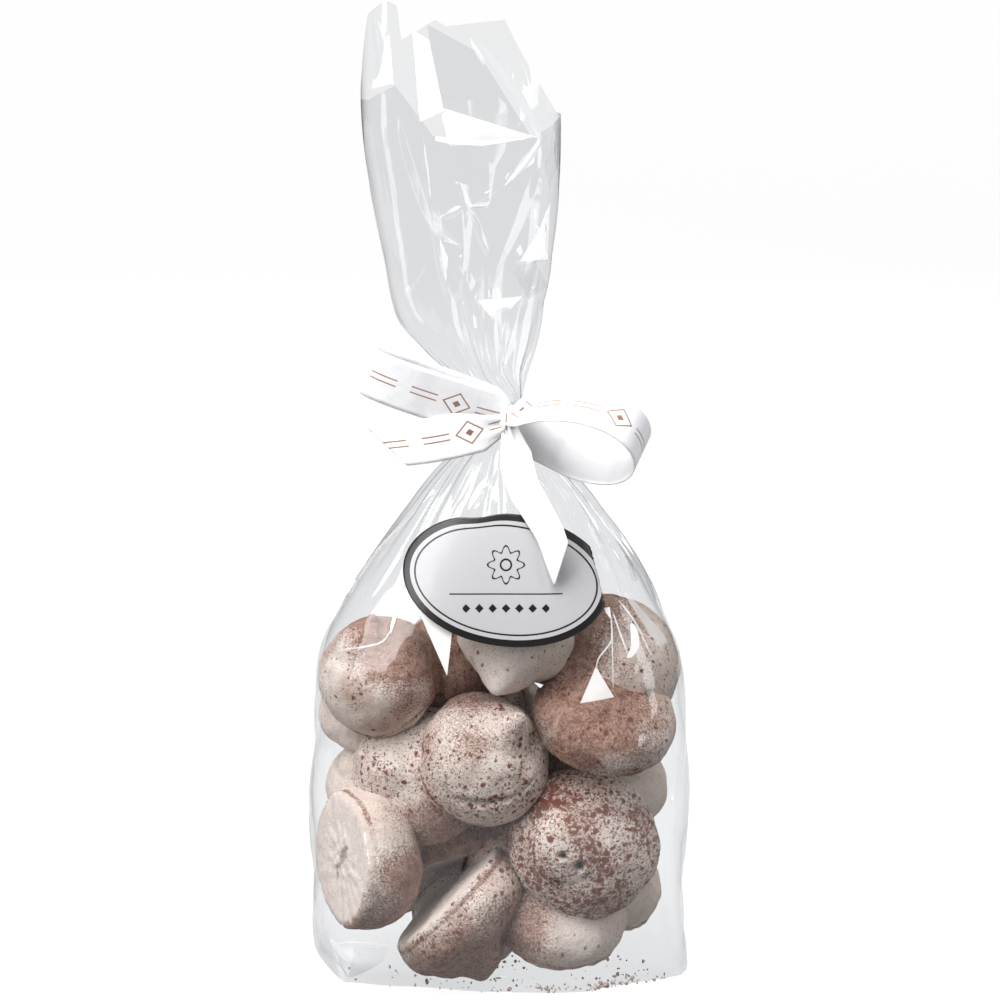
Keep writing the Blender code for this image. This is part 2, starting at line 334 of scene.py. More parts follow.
# At angles round the film in degrees: how far its lowest FOOT mm are lifted, and the height of the open rim
FOOT = 17 * MM
LIFT_TURN = [0, 20, 160, 180, 190, 205, 215, 226, 236, 250, 270, 300, 313, 323, 333, 343, 350, 360]
LIFT_HIGH = [2.2, 0.8, 0.8, 2.5, 0.3, 5.5, 6.5, 6.0, 3.7, 2.6, 1.8, 1.6, 2.0, 5.3, 6.2, 5.2, 2.6, 2.2]
RIM_TURN = [0, 15, 31, 42, 53, 107, 116, 123, 140, 143, 150, 163, 172, 180, 200, 218, 243, 290, 325, 345, 360]
RIM_HIGH = [267.5, 268, 277.5, 286, 295.5, 293.5, 295.5, 294, 289.5, 300, 301.5, 297.5]
RIM_HIGH += [280, 272.5, 272.5, 277, 262, 260.5, 261.5, 266, 267.5]


def section(z):
    """Middle in X, half width, half depth and corner power of the film at height z."""
    high = z > NECK_LOW
    values = []
    for name in ("left", "right", "deep", "square"):
        low = curve(z / MM, BODY["z"], BODY[name])
        top = curve(z / MM, TAIL["z"], TAIL[name])
        values.append(np.where(high, top, low))
    left, right, deep, square = values
    return (left + right) / 2 * MM, (right - left) / 2 * MM, deep * MM, square


def smooth_section(turn, z):
    """The middle in X of the film's section at height z, and its radius at an angle, without folds."""
    middle, wide, deep, square = section(z)
    corner = np.abs(np.cos(turn) / wide) ** square + np.abs(np.sin(turn) / deep) ** square
    return middle, corner ** (-1 / square)


def plain_panel(turn, z):
    """From 0 to 1: the left side of the tail, where the film hangs as one smooth wall."""
    t = turn / (2 * math.pi)
    return np.exp(-(((t - 0.51) / 0.17) ** 4)) * np.clip((z / MM - 190) / 14, 0, 1)


def gather(turn, z):
    """Share of the radius that pleats and creases take: deep round the tie, shallow on the full body."""
    t = turn / (2 * math.pi)
    wander = 0.018 * np.sin(3 * turn + 1) + 0.012 * np.sin(5 * turn + z / 0.02)
    wide = 0.55 * fold(7 * t + 0.13 + wander) + 0.45 * fold(11 * t + 0.4 + 0.12 * np.sin(turn))
    reach = [0, 101, 126, 151, 167, 173, 180.5, 187, 201, 225, 250, 303]
    strength = curve(z / MM, reach, [0, 0, 0.35, 1, 1.3, 1.0, 1.0, 1.4, 1.2, 0.7, 0.35, 0.2])
    strength = strength * (1 - 0.95 * plain_panel(turn, z))
    tight = curve(z / MM, [0, 120, 150, 173, 190, 215, 303], [0, 0, 0.25, 0.6, 0.5, 0, 0])
    return 0.13 * (strength * (0.5 - 0.5 * wide) + tight * (0.5 - 0.5 * fold(23 * (t + wander))))


def taut(turn, z):
    """From 0 to 1: where the film lies flat, under the label and over the front of the pile."""
    front = np.clip(-np.sin(turn), 0, 1)
    pile = np.exp(-(((z - 72 * MM) / (36 * MM)) ** 2)) * front * 0.9
    label = np.exp(-(((z - 118 * MM) / (30 * MM)) ** 4)) * front**0.45
    return np.maximum(pile, label)


def dishes(turn, z):
    """Depth in metres of the taut film's dishes below its ridges, at two sizes; panels above the tie."""
    t = turn / (2 * math.pi)
    spot = np.stack([np.cos(turn) * 2, np.sin(turn) * 2, z / (30 * MM)], axis=-1)
    calm = 0.5 + 0.5 * noise(spot, 11)
    large = nearest(t * 11 + 0.25 * np.sin(z / (26 * MM)), z / (38 * MM), 11, 3)
    small = nearest(t * 26 + 1.2 * np.sin(z / (40 * MM)), z / (17 * MM) + t * 3, 26, 5)
    body = curve(z / MM, [0, 20, 110, 160, 180], [0.3, 1, 1, 0.45, 0.2]) * (1 - 0.95 * taut(turn, z))
    body = body * (5.5 * MM * large * (0.4 + 0.6 * calm) + 1.8 * MM * small * calm**2)
    panel = nearest(t * 6 + 0.5 + z / (160 * MM), z / (46 * MM) + 0.5 * np.sin(turn), 6, 21)
    facet = nearest(t * 15 + z / (55 * MM), z / (19 * MM) + t * 2, 15, 8)
    tail = curve(z / MM, [173, 185, 210, 260, 303], [0, 0.4, 1, 0.9, 0.35]) * 2.6 * MM * panel
    tail = tail + curve(z / MM, [173, 190, 215, 240, 303], [0, 0.7, 1, 0.5, 0.2]) * 1.6 * MM * facet * calm
    return np.where(z > 177 * MM, tail * (1 - 0.7 * plain_panel(turn, z)), body)


CREASES_FRONT = [
    (-32.6, 293.8, -23.7, 266.3, 1.2, 1.0),
    (-23.7, 266.3, -20.3, 239.7, 1.2, 0.8),
    (-20.3, 239.7, -15.8, 213.4, 1.5, 1.0),
    (-22.5, 268.4, 12.1, 263.8, 4.3, 1.9),
    (13.0, 262.2, 1.4, 247.4, 1.8, 0.9),
    (1.4, 247.4, -9.3, 240.9, 1.2, 0.6),
    (-9.3, 241.2, -12.4, 248.6, 1.5, 0.8),
    (-9.3, 241.2, -17.9, 236.9, 1.5, 0.7),
    (-9.3, 241.2, -2.6, 225.2, 1.5, 0.9),
    (-2.6, 225.2, 0.5, 204.1, 1.8, 0.9),
    (15.5, 234.4, 5.4, 223.9, 3.7, 1.8),
    (-20.0, 226.4, -28.9, 212.5, 0.8, 0.5),
    (-17.3, 236.6, -11.2, 228.9, 1.8, 1.1),
    (-16.4, 225.2, -17.3, 217.7, 1.5, 0.8),
    (-10.9, 226.4, -13.0, 211.9, 2.1, 1.2),
    (-7.2, 212.8, 8.1, 213.7, 2.8, 1.4),
    (-10.9, 211.9, -4.1, 192.4, 2.8, 1.5),
    (2.0, 199.5, 6.6, 187.1, 1.8, 1.0),
    (-5.7, 194.2, 2.3, 181.9, 1.5, 0.9),
    (-13.3, 193.3, -2.0, 181.9, 1.8, 0.9),
    (13.9, 218.7, 5.4, 210.3, 1.2, 0.6),
    (-39.6, 271.5, -33.5, 228.9, 1.8, 0.4),
    (-33.5, 228.9, -20.3, 194.2, 1.8, 0.9),
    (16.7, 267.5, 14.8, 242.8, 1.5, 0.8),
    (13.0, 225.2, 9.0, 199.5, 1.5, 0.8),
    (-24.6, 295.9, -18.8, 274.0, 3.7, 1.6),
    (-29.5, 139.9, -47.9, 125.4, 0.9, 0.5),
    (-2.6, 172.4, -14.2, 150.7, 2.1, 1.2),
    (0.8, 163.1, -9.3, 148.3, 1.8, 0.9),
    (-5.0, 171.8, -30.8, 143.3, 1.5, 0.8),
    (-13.3, 163.1, -38.7, 122.9, 1.5, 0.8),
    (9.6, 160.6, 21.3, 148.9, 1.8, 1.0),
    (15.1, 160.6, 28.6, 144.6, 1.5, 1.0),
    (26.5, 149.2, 37.8, 121.7, 1.5, 1.6),
    (18.8, 163.1, 47.9, 122.9, 1.8, 0.9),
    (37.8, 135.3, 56.8, 107.5, 2.8, 1.2),
    (-53.1, 16.9, -32.6, 16.3, 0.8, 0.5),
    (-51.6, 16.3, -47.0, 3.6, 1.2, 0.6),
    (-54.0, 95.1, -56.8, 30.2, 1.2, 0.7),
    (-55.8, 61.1, -54.0, 17.8, 1.5, 0.6),
    (54.6, 92.0, 52.8, 42.6, 1.2, 0.7),
    (53.1, 45.7, 57.4, 11.7, 1.5, 0.8),
    (0.5, 11.0, 31.1, 7.9, 1.5, 0.6),
    (18.8, 3.9, 49.4, 11.0, 1.5, 0.7),
    (43.3, 42.6, 51.9, 14.7, 2.4, 1.0),
    (-45.4, 39.5, -51.6, 17.8, 1.8, 0.8),
    (-8.7, 47.2, -13.3, 30.2, 1.5, 0.6),
    (12.1, 79.7, 18.8, 92.0, 1.5, 0.6),
]
CREASES_BACK = [
    (-8.7, 291.0, 13.0, 259.5, 2.8, 1.5),
    (3.2, 295.4, 9.6, 275.0, 1.8, 0.9),
    (-16.4, 294.1, -8.7, 265.7, 4.3, 1.6),
    (12.7, 256.4, 0.5, 222.4, 3.1, 1.4),
    (-30.1, 265.7, -17.9, 228.6, 3.1, 1.4),
    (-17.9, 228.6, -2.6, 191.5, 2.8, 1.3),
    (-37.8, 296.6, -34.7, 273.4, 1.5, 1.0),
    (9.6, 219.3, 0.5, 188.4, 2.4, 1.2),
    (-40.0, 120.0, -52.0, 60.0, 3.0, 1.4),
    (-5.0, 150.0, -28.0, 60.0, 4.0, 1.6),
    (12.0, 150.0, 34.0, 50.0, 4.0, 1.6),
    (40.0, 110.0, 52.0, 30.0, 3.0, 1.4),
    (-30.0, 40.0, 20.0, 12.0, 3.0, 1.0),
]


def creases(x, z, rows):
    """Height in metres of straight creases: a tent across each line, a lens along it.

    Rows are the two ends' x and z, the half width and the height, in mm.
    """
    total = 0
    for x1, z1, x2, z2, wide, high in rows:
        run = math.hypot(x2 - x1, z2 - z1)
        right, up = (x2 - x1) / run, (z2 - z1) / run
        dx, dz = x / MM - x1, z / MM - z1
        share = np.clip((dx * right + dz * up) / run, 0, 1)
        lens = np.sqrt(4 * share * (1 - share))
        away = np.abs(dx * up - dz * right)
        total = total + high * MM * np.maximum(lens - away / wide, 0)
    return total


def film(turn, z):
    """A point on the film at an angle and a height."""
    middle, radius = smooth_section(turn, z)
    c, s = np.cos(turn), np.sin(turn)
    radius = radius * (1 - gather(turn, z)) - dishes(turn, z)
    x, y = middle + radius * c, radius * s
    y = y - creases(x, z, CREASES_FRONT) * np.clip(-3 * s, 0, 1)
    y = y + creases(x, z, CREASES_BACK) * np.clip(3 * s, 0, 1)
    down = np.clip((FOOT - z) / FOOT, 0, 1)
    pocket = np.clip(1 - np.abs(x + 44 * MM) / (11 * MM), 0, 1) * np.clip(-2 * s, 0, 1)
    y = y - 4.5 * MM * np.sin(down * 2.2) * pocket
    lift = np.interp(np.degrees(turn) % 360, LIFT_TURN, LIFT_HIGH) * MM
    return np.stack([x, y, z + lift * down**2], axis=-1)


def rim_height(turn):
    """The height of the open rim at an angle."""
    return np.interp(np.degrees(turn), RIM_TURN, RIM_HIGH) * MM


def even_turns(count, height):
    """Angles that space points evenly along the film's section at a height."""
    fine = np.linspace(0, 2 * math.pi, 6001)
    _, radius = smooth_section(fine, np.full(fine.shape, height))
    length = run_along(np.stack([radius * np.cos(fine), radius * np.sin(fine)], axis=-1))
    return np.interp(np.arange(count) / count * length[-1], length, fine)


# %% [markdown]
# ## Meringues
# Each one is piped in one blob: a low dome with a flat foot, a smaller fold of mix lying over its crown and
# a tip pulled to one side, dried smooth and slightly lumpy. As a shape it is the farthest of a squashed
# ball, a smaller ball and a few shrinking ones up the tip, in every direction from its middle.

# %% Meringue shapes
# Middle x, y, z in mm; where the crown points; turn of the tip; width and height in mm; share of specks,
# brown tone and cocoa powder; the side that the powder lies on; the tip's reach out and up and its size.
# Tone and powder also paint shade on some: the powder side of the large one left of the middle is its
# shaded lower right, and the hidden ones seen in the dark gaps have high tone and powder on their front.
TIP = (0.40, 0.90, 0.30)
MERINGUES = {
    "pale": [
        (-4.5, -15.8, 72.5, (0.47, -0.74, 0.48), 0.80, 41, 26,
            0.62, 0.34, 0.58, (-0.3, -0.3, 0.9), (0.20, 1.26, 0.36)),
        # Its powder lies on its shaded lower right, so the cocoa there also paints shade.
        (-24.2, -4.0, 65.6, (-0.54, -0.78, 0.16), 2.5, 44, 27, 0.60, 0.40, 1.15, (0.6, 0.0, -0.8), TIP),
        (4.5, -12.0, 109.5, (-0.25, -0.60, -0.76), 0.0, 36, 21,
            0.40, 0.05, 0.20, (-0.9, -0.3, 0.2), (0.02, 1.28, 0.48)),
        (-40.5, -11.6, 40.6, (0.90, 0.42, -0.02), 0.0, 43, 25, 0.30, 0.45, 0.85, (0.9, -0.3, -0.4), TIP),
        (18.5, -4.5, 22.6, (0.25, -0.48, 0.84), 4.2, 42, 22,
            0.46, 0.30, 0.65, (-0.9, -0.3, 0.1), (0.45, 0.90, 0.34)),
        (38.0, 11.9, 60.8, (0.60, -0.50, 0.60), 2.2, 31, 21, 0.35, 0.30, 0.40, (0, 0, 1), TIP),
        (-42.0, 6.0, 84.5, (-0.80, -0.40, 0.45), 1.2, 28, 21, 0.35, 0.35, 0.50, (0, 0, 1), TIP),
        (-41.5, 10.0, 60.0, (-0.60, -0.50, 0.60), 0.4, 26, 19, 0.35, 0.30, 0.30, (0, 0, 1), TIP),
    ],
    "dusted": [
        (-36.8, -8.5, 97.0, (-0.45, -0.65, 0.60), 1.0, 37, 27,
            0.44, 0.70, 1.00, (0.7, -0.1, 0.8), (0.50, 0.95, 0.28)),
        (34.0, 1.0, 100.5, (0.28, -0.50, 0.80), 2.0, 45, 29, 0.50, 0.45, 1.05, (-0.8, -0.2, 0.6), TIP),
        (32.3, -12.5, 85.2, (0.20, -0.46, 0.86), 2.9, 44, 21,
            0.56, 0.80, 0.95, (-0.4, -0.8, 0.3), (0.28, 0.78, 0.40)),
        (-11.0, -8.5, 22.6, (0.69, -0.03, -0.71), 4.35, 48, 22,
            0.62, 0.60, 1.10, (0.6, -0.2, -0.9), (0.32, 1.12, 0.40)),
        # Hidden behind the pile: high tone and powder on its front paint the shade of a dark gap.
        (-17.0, 7.0, 97.5, (-0.20, -0.50, 0.85), 0.0, 33, 24, 0.50, 0.95, 1.25, (0.3, -1.0, 0.3), TIP),
        (36.5, 8.6, 27.3, (0.30, -0.40, 0.85), 1.0, 29, 21, 0.35, 0.35, 0.45, (0, 0, 1), TIP),
        # Hidden behind the pile: high tone and powder on its front paint the shade of a dark gap.
        (-15.5, 13.0, 41.5, (-0.30, 0.30, 0.90), 2.4, 36, 23, 0.60, 1.00, 1.60, (0, -1, 0.5), TIP),
    ],
    "speckled": [
        (26.4, -13.8, 45.3, (0.05, -0.98, 0.15), 3.6, 46, 24,
            0.79, 0.36, 0.44, (0.2, -0.2, 0.9), (0.20, 0.80, 0.40)),
        # Hidden behind the pile: high tone and powder paint the shade of a dark gap.
        (7.0, 11.5, 42.5, (0.10, -0.60, 0.80), 0.3, 38, 24, 0.60, 1.00, 1.40, (0, 0, 1), TIP),
        (-10.1, 17.6, 88.4, (0.10, 0.80, 0.56), 2.0, 38, 24, 0.50, 0.50, 0.70, (0, 1, 0.5), TIP),
        (20.0, 18.0, 81.8, (0.30, 0.90, -0.30), 4.0, 36, 23, 0.62, 0.40, 0.50, (0, 1, 0.5), TIP),
        (-36.6, 16.5, 34.2, (-0.20, 0.95, 0.20), 5.0, 38, 22, 0.50, 0.50, 0.90, (0, 1, 0.5), TIP),
        (-9.0, 17.5, 16.9, (0.20, 0.90, 0.35), 1.4, 36, 21, 0.60, 0.40, 0.60, (0, 1, 0.5), TIP),
        # Hidden behind the pile: powder on its front paints the shade of a dark gap.
        (16.5, 14.0, 63.0, (0.40, 0.50, 0.70), 2.4, 33, 21, 0.50, 0.70, 1.00, (0, -1, 0.5), TIP),
        (-14.0, 15.5, 64.0, (-0.20, 0.85, 0.50), 1.0, 36, 22, 0.50, 0.60, 0.85, (0, 0, 1), TIP),
    ],
}
FIRST_SEED, NEXT_SEED = 20, 7


def stand(crown, turn):
    """Three rows, the meringue's own X, Y and crown directions, with its tip turned about the crown."""
    crown = np.array(crown) / np.linalg.norm(crown)
    level = np.array([0, 0, 1.0]) if abs(crown[2]) < 0.9 else np.array([0, -1.0, 0])
    u = np.cross(level, crown)
    u = u / np.linalg.norm(u)
    v = np.cross(crown, u)
    return np.stack([u * math.cos(turn) + v * math.sin(turn), v * math.cos(turn) - u * math.sin(turn), crown])


def ball(ways, middle, size):
    """Distance from the origin to the far side of a ball stretched by size, or 0 where a way misses it."""
    way, at = ways / size, np.asarray(middle) / size
    a, b, c = np.sum(way * way, axis=-1), np.sum(way * at, axis=-1), np.sum(at * at) - 1
    inside = b * b - a * c
    return np.where(inside > 0, (b + np.sqrt(np.maximum(inside, 0))) / a, 0)


def blend_out(a, b, soft):
    """The larger of two distances, eased over soft."""
    gap = np.clip(0.5 + 0.5 * (a - b) / soft, 0, 1)
    return b + (a - b) * gap + soft * gap * (1 - gap)


def meringue(ways, wide, high, tip, seed):
    """Distance in mm from the middle to the skin along each way, crown up, tip towards +X."""
    draw = np.random.RandomState(seed)
    half, top, foot = wide / 2, 0.62 * high, 0.34 * high
    flat, up = np.hypot(ways[..., 0], ways[..., 1]), ways[..., 2]
    dome = 1 / np.sqrt((flat / half) ** 2 + (up / top) ** 2)
    belly = 1 / np.sqrt((flat / half) ** 2 + (up / (2.2 * foot)) ** 2)
    skin = np.where(up > 0, dome, belly)
    lean = draw.uniform(0.10, 0.22) * half
    fold_at = (lean, draw.uniform(-0.1, 0.1) * half, 0.30 * top)
    skin = blend_out(skin, ball(ways, fold_at, (0.66 * half, 0.62 * half, 0.86 * top)), 0.5)
    out, rise, size = tip[0] * half, tip[1] * top, tip[2] * half
    for share in (0, 0.25, 0.5, 0.75, 1):
        spot = (out * (0.6 + 0.5 * share), 0.1 * half * share, rise * (0.5 + 0.6 * share))
        skin = blend_out(skin, ball(ways, spot, np.full(3, size * (1.15 - 0.83 * share))), 1.0)
    shift = draw.uniform(0, 30, 3)
    around = np.arctan2(ways[..., 1], ways[..., 0])
    corner = np.exp(-((np.angle(np.exp(1j * (around - draw.uniform(0, 6.28)))) / 0.5) ** 2))
    skin = skin * (1 + 0.05 * corner * flat**2)
    lumps = 0.75 * noise(ways * 1.7 + shift, seed) + 0.32 * noise(ways * 4.3 + shift, seed + 1)
    skin = skin + lumps + 0.07 * noise(ways * 13 + shift, seed + 2)
    uneven = noise(ways * 9 + shift, seed + 4)
    level = up * skin + (0.72 + 0.12 * uneven) * foot
    rim = np.exp(-(((level + 0.16 * foot) / (0.09 * high)) ** 2)) * (0.5 + 0.5 * uneven)
    crack = np.exp(-(((level - 0.2 * foot) / (0.03 * high)) ** 2)) * np.clip(0.2 + 1.2 * uneven, 0, 1)
    floor = (foot + 0.35 * noise(ways * 6 + shift, seed + 5)) / np.maximum(-up, 0.01)
    return -blend_out(-skin - 0.7 * rim + 0.5 * crack, -floor, 0.7)


# Small holes, a crack in the flat foot on the left and the groove above the foot of the one in the middle:
# the skin's x, y, z, radius and depth in mm, and how dark the shade painted in it is
PITS = [
    (24.5, -27.0, 42.0, 1.5, 2.4, 1.0),
    (19.2, -27.0, 45.6, 1.2, 1.6, 1.0),
    (31.5, -27.0, 29.5, 1.2, 1.0, 0.7),
    (-36.0, -18.5, 38.6, 0.7, 0.8, 0.5),
    (46.0, -16.0, 93.0, 0.9, 1.0, 0.8),
]
for share in np.linspace(0, 1, 16):
    crack_x = np.interp(share, [0, 0.2, 0.45, 0.7, 1], [-46.4, -47.4, -47.7, -49.6, -50.4])
    wide_here = np.interp(share, [0, 0.3, 0.5, 0.8, 1], [0.5, 1.0, 0.5, 0.6, 1.3])
    PITS.append((crack_x, -20.5, 45.4 - 10.4 * share, wide_here, 0.5, 0.55))
for share in np.linspace(0, 1, 36):
    groove_x = np.interp(share, [0, 0.26, 0.52, 0.78, 1], [-19.0, -13.3, -4.1, 5.0, 11.6])
    groove_z = np.interp(share, [0, 0.26, 0.52, 0.78, 1], [70.0, 62.9, 61.6, 63.4, 68.6])
    PITS.append((groove_x, -30.0, groove_z, 0.9 * math.sin(math.pi * share) + 0.2, 0.6, 0.12))


def kiss_points(row, seed, rows, columns):
    """World points of one meringue on a grid of ways, and its finish's values at each point."""
    x, y, z, crown, turn, wide, high, specks, tone, powder_and_shade, side, tip = row
    ways = all_ways(rows, columns)
    own = ways * meringue(ways, wide, high, tip, seed)[..., None]
    own[0], own[-1] = own[0, 0], own[-1, 0]
    world = own @ stand(crown, turn) + np.array([x, y, z])
    # How much shade is painted in the holes, the crack and the groove.
    hole_shade = np.zeros(world.shape[:2])
    ragged = 0.3 * noise(world * 1.3, 77)
    for px, py, pz, radius, depth, dark in PITS:
        gap = np.hypot(world[..., 0] - px, world[..., 2] - pz) + ragged
        near = np.clip(1.5 - gap / radius, 0, 1) * (world[..., 1] < y) * (abs(world[..., 1] - py) < 9)
        hole_shade = np.maximum(hole_shade, near * dark)
        world = world + ((np.array([x, y, z]) - world) * 0.05 * depth * near[..., None])
    world[..., 2] = np.maximum(world[..., 2], 0.9)
    patch = 0.5 + 0.5 * noise(ways * 2.3 + seed, seed + 5)
    side = np.array(side) / np.linalg.norm(side)
    facing_side = (ways @ stand(crown, turn)) @ side
    foot = 0.34 * high
    off_middle = np.hypot(own[..., 0], own[..., 1])
    low = np.clip((-own[..., 2] / foot - 0.8) / 0.15, 0, 1) * (off_middle < 0.44 * wide)
    rim = np.exp(-(((own[..., 2] + 0.7 * foot) / 1.1) ** 2)) * (off_middle > 0.38 * wide)
    # Powder lies towards the row's side; where that side is a shaded one, the cocoa also paints shade.
    cocoa_and_shade = powder_and_shade * np.clip(0.75 * facing_side + 0.55 * patch + 0.08, 0, 1.2) * (1 - 0.9 * low)
    cocoa_and_shade = np.maximum(cocoa_and_shade, 0.95 * rim * (0.3 + patch))
    return {
        "points": world * MM,
        "specks": specks * (0.72 + 0.48 * patch) * (1 - 0.6 * low),
        "tone": np.clip(tone * (0.5 + 0.8 * patch) * (1 - 0.9 * low), 0, 1),
        "powder_and_shade": cocoa_and_shade,
        "hole_shade": hole_shade,
    }


# %% [markdown]
# ## Meringue finish
# Dried egg white and sugar is matt, chalky and off-white. Cocoa lies on it as a fine stippled bloom, as
# soft red-brown specks of 1 to 2.5 mm and as small dark grains. The specks are cells of scattered points
# whose size is drawn at random, and the mesh's specks value says how many of them show. The bloom is fine
# noise cut at a level that the powder value lowers, so that grains join where the powder is thick. On some
# meringues that powder also paints shade, on their shaded side and in the dark gaps of the pile.

# %% Meringue material
meringue_look, tree = new_material("meringue_cocoa_dusted")
place = add(tree, "TexCoord").outputs["Object"]
FINISH = ("specks", "tone", "powder_and_shade", "hole_shade")
specks, tone, powder_and_shade, hole_shade = (add(tree, "Attribute", attribute_name=name).outputs["Fac"] for name in FINISH)
warp = add(tree, "TexNoise", {"Vector": place, "Scale": 600.0, "Detail": 2.0}).outputs["Color"]
warp = add(tree, "VectorMath", {0: warp, "Scale": 0.0020}, operation="SCALE")
warped = add(tree, "VectorMath", [place, warp], operation="ADD")
cloud = add(tree, "TexNoise", {"Vector": place, "Scale": 90.0, "Detail": 4.0})
grain = add(tree, "TexNoise", {"Vector": place, "Scale": 1700.0, "Detail": 3.0})
flecks = add(tree, "TexNoise", {"Vector": place, "Scale": 420.0, "Detail": 3.0})
mottle = add(tree, "TexNoise", {"Vector": place, "Scale": 520.0, "Detail": 6.0, "Roughness": 0.75})
mottle = add(tree, "Math", [mottle, 3.4, -1.45], operation="MULTIPLY_ADD", use_clamp=True)
mottle = add(tree, "Math", [mottle, 0.55], operation="MULTIPLY")


def spots(scale, share, soft):
    """From 0 to 1: spots at a share of scattered points, each of its own size, more where specks is high."""
    cell = add(tree, "TexVoronoi", {"Vector": warped, "Scale": scale}, feature="F1")
    drawn = add(tree, "SeparateColor", [cell.outputs["Color"]])
    reach = add(tree, "Math", [specks, share], operation="MULTIPLY")
    reach = add(tree, "Math", [reach, drawn], operation="SUBTRACT")
    reach = add(tree, "Math", [reach, cell.outputs["Distance"]], operation="SUBTRACT")
    return add(tree, "Math", [reach, soft], operation="MULTIPLY", use_clamp=True)


brown = add(tree, "Math", [cloud, 3.4, -1.1], operation="MULTIPLY_ADD", use_clamp=True)
brown = add(tree, "Math", [brown, tone], operation="MULTIPLY")
cocoa_share = add(tree, "Math", [flecks, grain], operation="ADD")
cocoa_share = add(tree, "Math", [cocoa_share, 2.4, -1.9], operation="MULTIPLY_ADD", use_clamp=True)
cocoa = add(tree, "Mix", {"Factor": cocoa_share, 6: color("B08A78"), 7: color("6F4435")}, data_type="RGBA")
# Cocoa where the powder value is high, which on some meringues also paints shade.
cover = add(tree, "Math", [grain, powder_and_shade], operation="ADD")
cover = add(tree, "MapRange", {"Value": cover, "From Min": 0.86, "From Max": 1.20, "To Max": 0.88})
# Each layer lies on the one before: its share, and its colour
layers = [
    (mottle, color("CDB5A8")),
    (brown, color("BF9C8C")),
    (cover, cocoa.outputs[2]),
    (spots(1400.0, 1.5, 1.6), color("B8998B")),
    (spots(1900.0, 1.0, 6.0), color("6B5850")),
    (spots(950.0, 1.05, 3.5), color("855447")),
    (spots(540.0, 1.05, 4.0), color("77483C")),
    # Painted shade in the holes, the foot's crack and the groove, where little light would reach.
    (hole_shade, color("2C201D")),
]
shade = add(tree, "Mix", {"Factor": grain, 6: color("FAF2EA"), 7: color("E6D6CB")}, data_type="RGBA")
for share, tint in layers:
    shade = add(tree, "Mix", {"Factor": share, 6: shade.outputs[2], 7: tint}, data_type="RGBA")
pores = add(tree, "TexVoronoi", {"Vector": place, "Scale": 1100.0}, feature="F1")
height = add(tree, "Math", [pores, 0.3, grain], operation="MULTIPLY_ADD")
height = add(tree, "Math", [flecks, 0.9, height], operation="MULTIPLY_ADD")
bump = add(tree, "Bump", {"Height": height, "Strength": 0.55, "Distance": 0.0005})
chalk = add(
    tree, "BsdfPrincipled", {"Base Color": shade.outputs[2], "Roughness": 0.88, "IOR": 1.45, "Normal": bump}
)
finish_with(tree, chalk)

# %% [markdown]
# ## The meringues as meshes
# Each meringue is a ball of 94 rings whose points move out to its own skin, so its poles and its seam are
# closed. Those of one finish share a mesh: the pale ones, the dusted ones and the speckled ones. Blender
# could also scatter copies of one meringue, but then all of them would have the same lumps.

# %% Meringue pieces
ROWS, COLUMNS = 94, 130
seed = FIRST_SEED
for kind, rows in MERINGUES.items():
    made = []
    for row in rows:
        made.append(kiss_points(row, seed, ROWS, COLUMNS))
        seed += NEXT_SEED
    points, faces = joined([one["points"] for one in made], True)
    piece = add_piece("meringues_" + kind, points, faces[:, ::-1], meringue_look)
    for name in FINISH:
        add_values(piece, name, np.concatenate([one[name].ravel() for one in made]))
    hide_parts("bag")
    print(kind, len(rows), "meringues,", 2 * len(faces), "triangles")

# %% [markdown]
# ## Film pieces
# The body and the loose tail are two meshes that meet at the tie. Where a meringue would poke through, the
# film is pushed out to lie on it, as the real film is by its contents. A third mesh holds the folds, where
# film lies double: flaps between four corners in the tail, white wedges and sharp seams pressed flat on
# the body's front, and the lip that the rim turns over. Their white is partly painted highlight: white
# patches stand where the film would mirror a soft box. Their place is drawn in X and Z only, and a
# weighted mean of the nearby film gives their depth, so they lie just outside it.

# %% Film pieces
def held_off(points, gap):
    """Film points inside a meringue's skin move away from its middle until they are gap off it."""
    out = points.copy()
    pile = [row for rows in MERINGUES.values() for row in rows]
    for _ in range(2):
        seed = FIRST_SEED
        for x, y, z, crown, turn, wide, high, *finish, tip in pile:
            from_middle = out / MM - np.array([x, y, z])
            far = np.linalg.norm(from_middle, axis=-1)
            near = far < wide * 0.75
            way = from_middle[near] / far[near][:, None]
            deep = meringue(way @ stand(crown, turn).T, wide, high, tip, seed) + gap / MM - far[near]
            out[near] += way * np.maximum(deep, 0)[:, None] * MM
            seed += NEXT_SEED
    return out


BODY_ROWS, BODY_COLUMNS, BASE_ROWS = 158, 560, 14
TAIL_ROWS, TAIL_COLUMNS = 190, 460
BODY_FROM, BODY_TO = 0.9 * MM, NECK_HIGH - 4 * MM


def film_body():
    """Base from its middle outwards, then the body up to the tie; and how far each point is of the base."""
    turn = even_turns(BODY_COLUMNS, 0.06)[None, :]
    share = np.linspace(0, 1, BODY_ROWS)[:, None]
    high = (BODY_FROM + (BODY_TO - BODY_FROM) * share**0.9) + 0 * turn
    body = film(turn + 0 * share, high)
    body = held_off(body.reshape(-1, 3), 0.35 * MM).reshape(body.shape)
    inwards = np.linspace(0.02, 0.985, BASE_ROWS)[:, None, None]
    middle = np.array([1.5, 0, 0.4]) * MM
    base = middle + (body[:1] - middle) * np.concatenate((inwards, inwards, inwards**6), axis=2)
    rings = np.concatenate((base, body))
    base_share = np.concatenate((np.ones((BASE_ROWS, BODY_COLUMNS)), np.exp(-high / (4 * MM))))
    return rings, grid_faces(len(rings), rings.shape[1], True), base_share


def film_tail():
    """From the tie to the open rim, whose height changes round the tail."""
    turn = even_turns(TAIL_COLUMNS, 0.24)[None, :]
    share = np.linspace(0, 1, TAIL_ROWS)[:, None]
    rings = film(turn + 0 * share, BODY_TO + (rim_height(turn) - BODY_TO) * share**1.05)
    return rings, grid_faces(len(rings), rings.shape[1], True), np.zeros(rings.shape[:2])
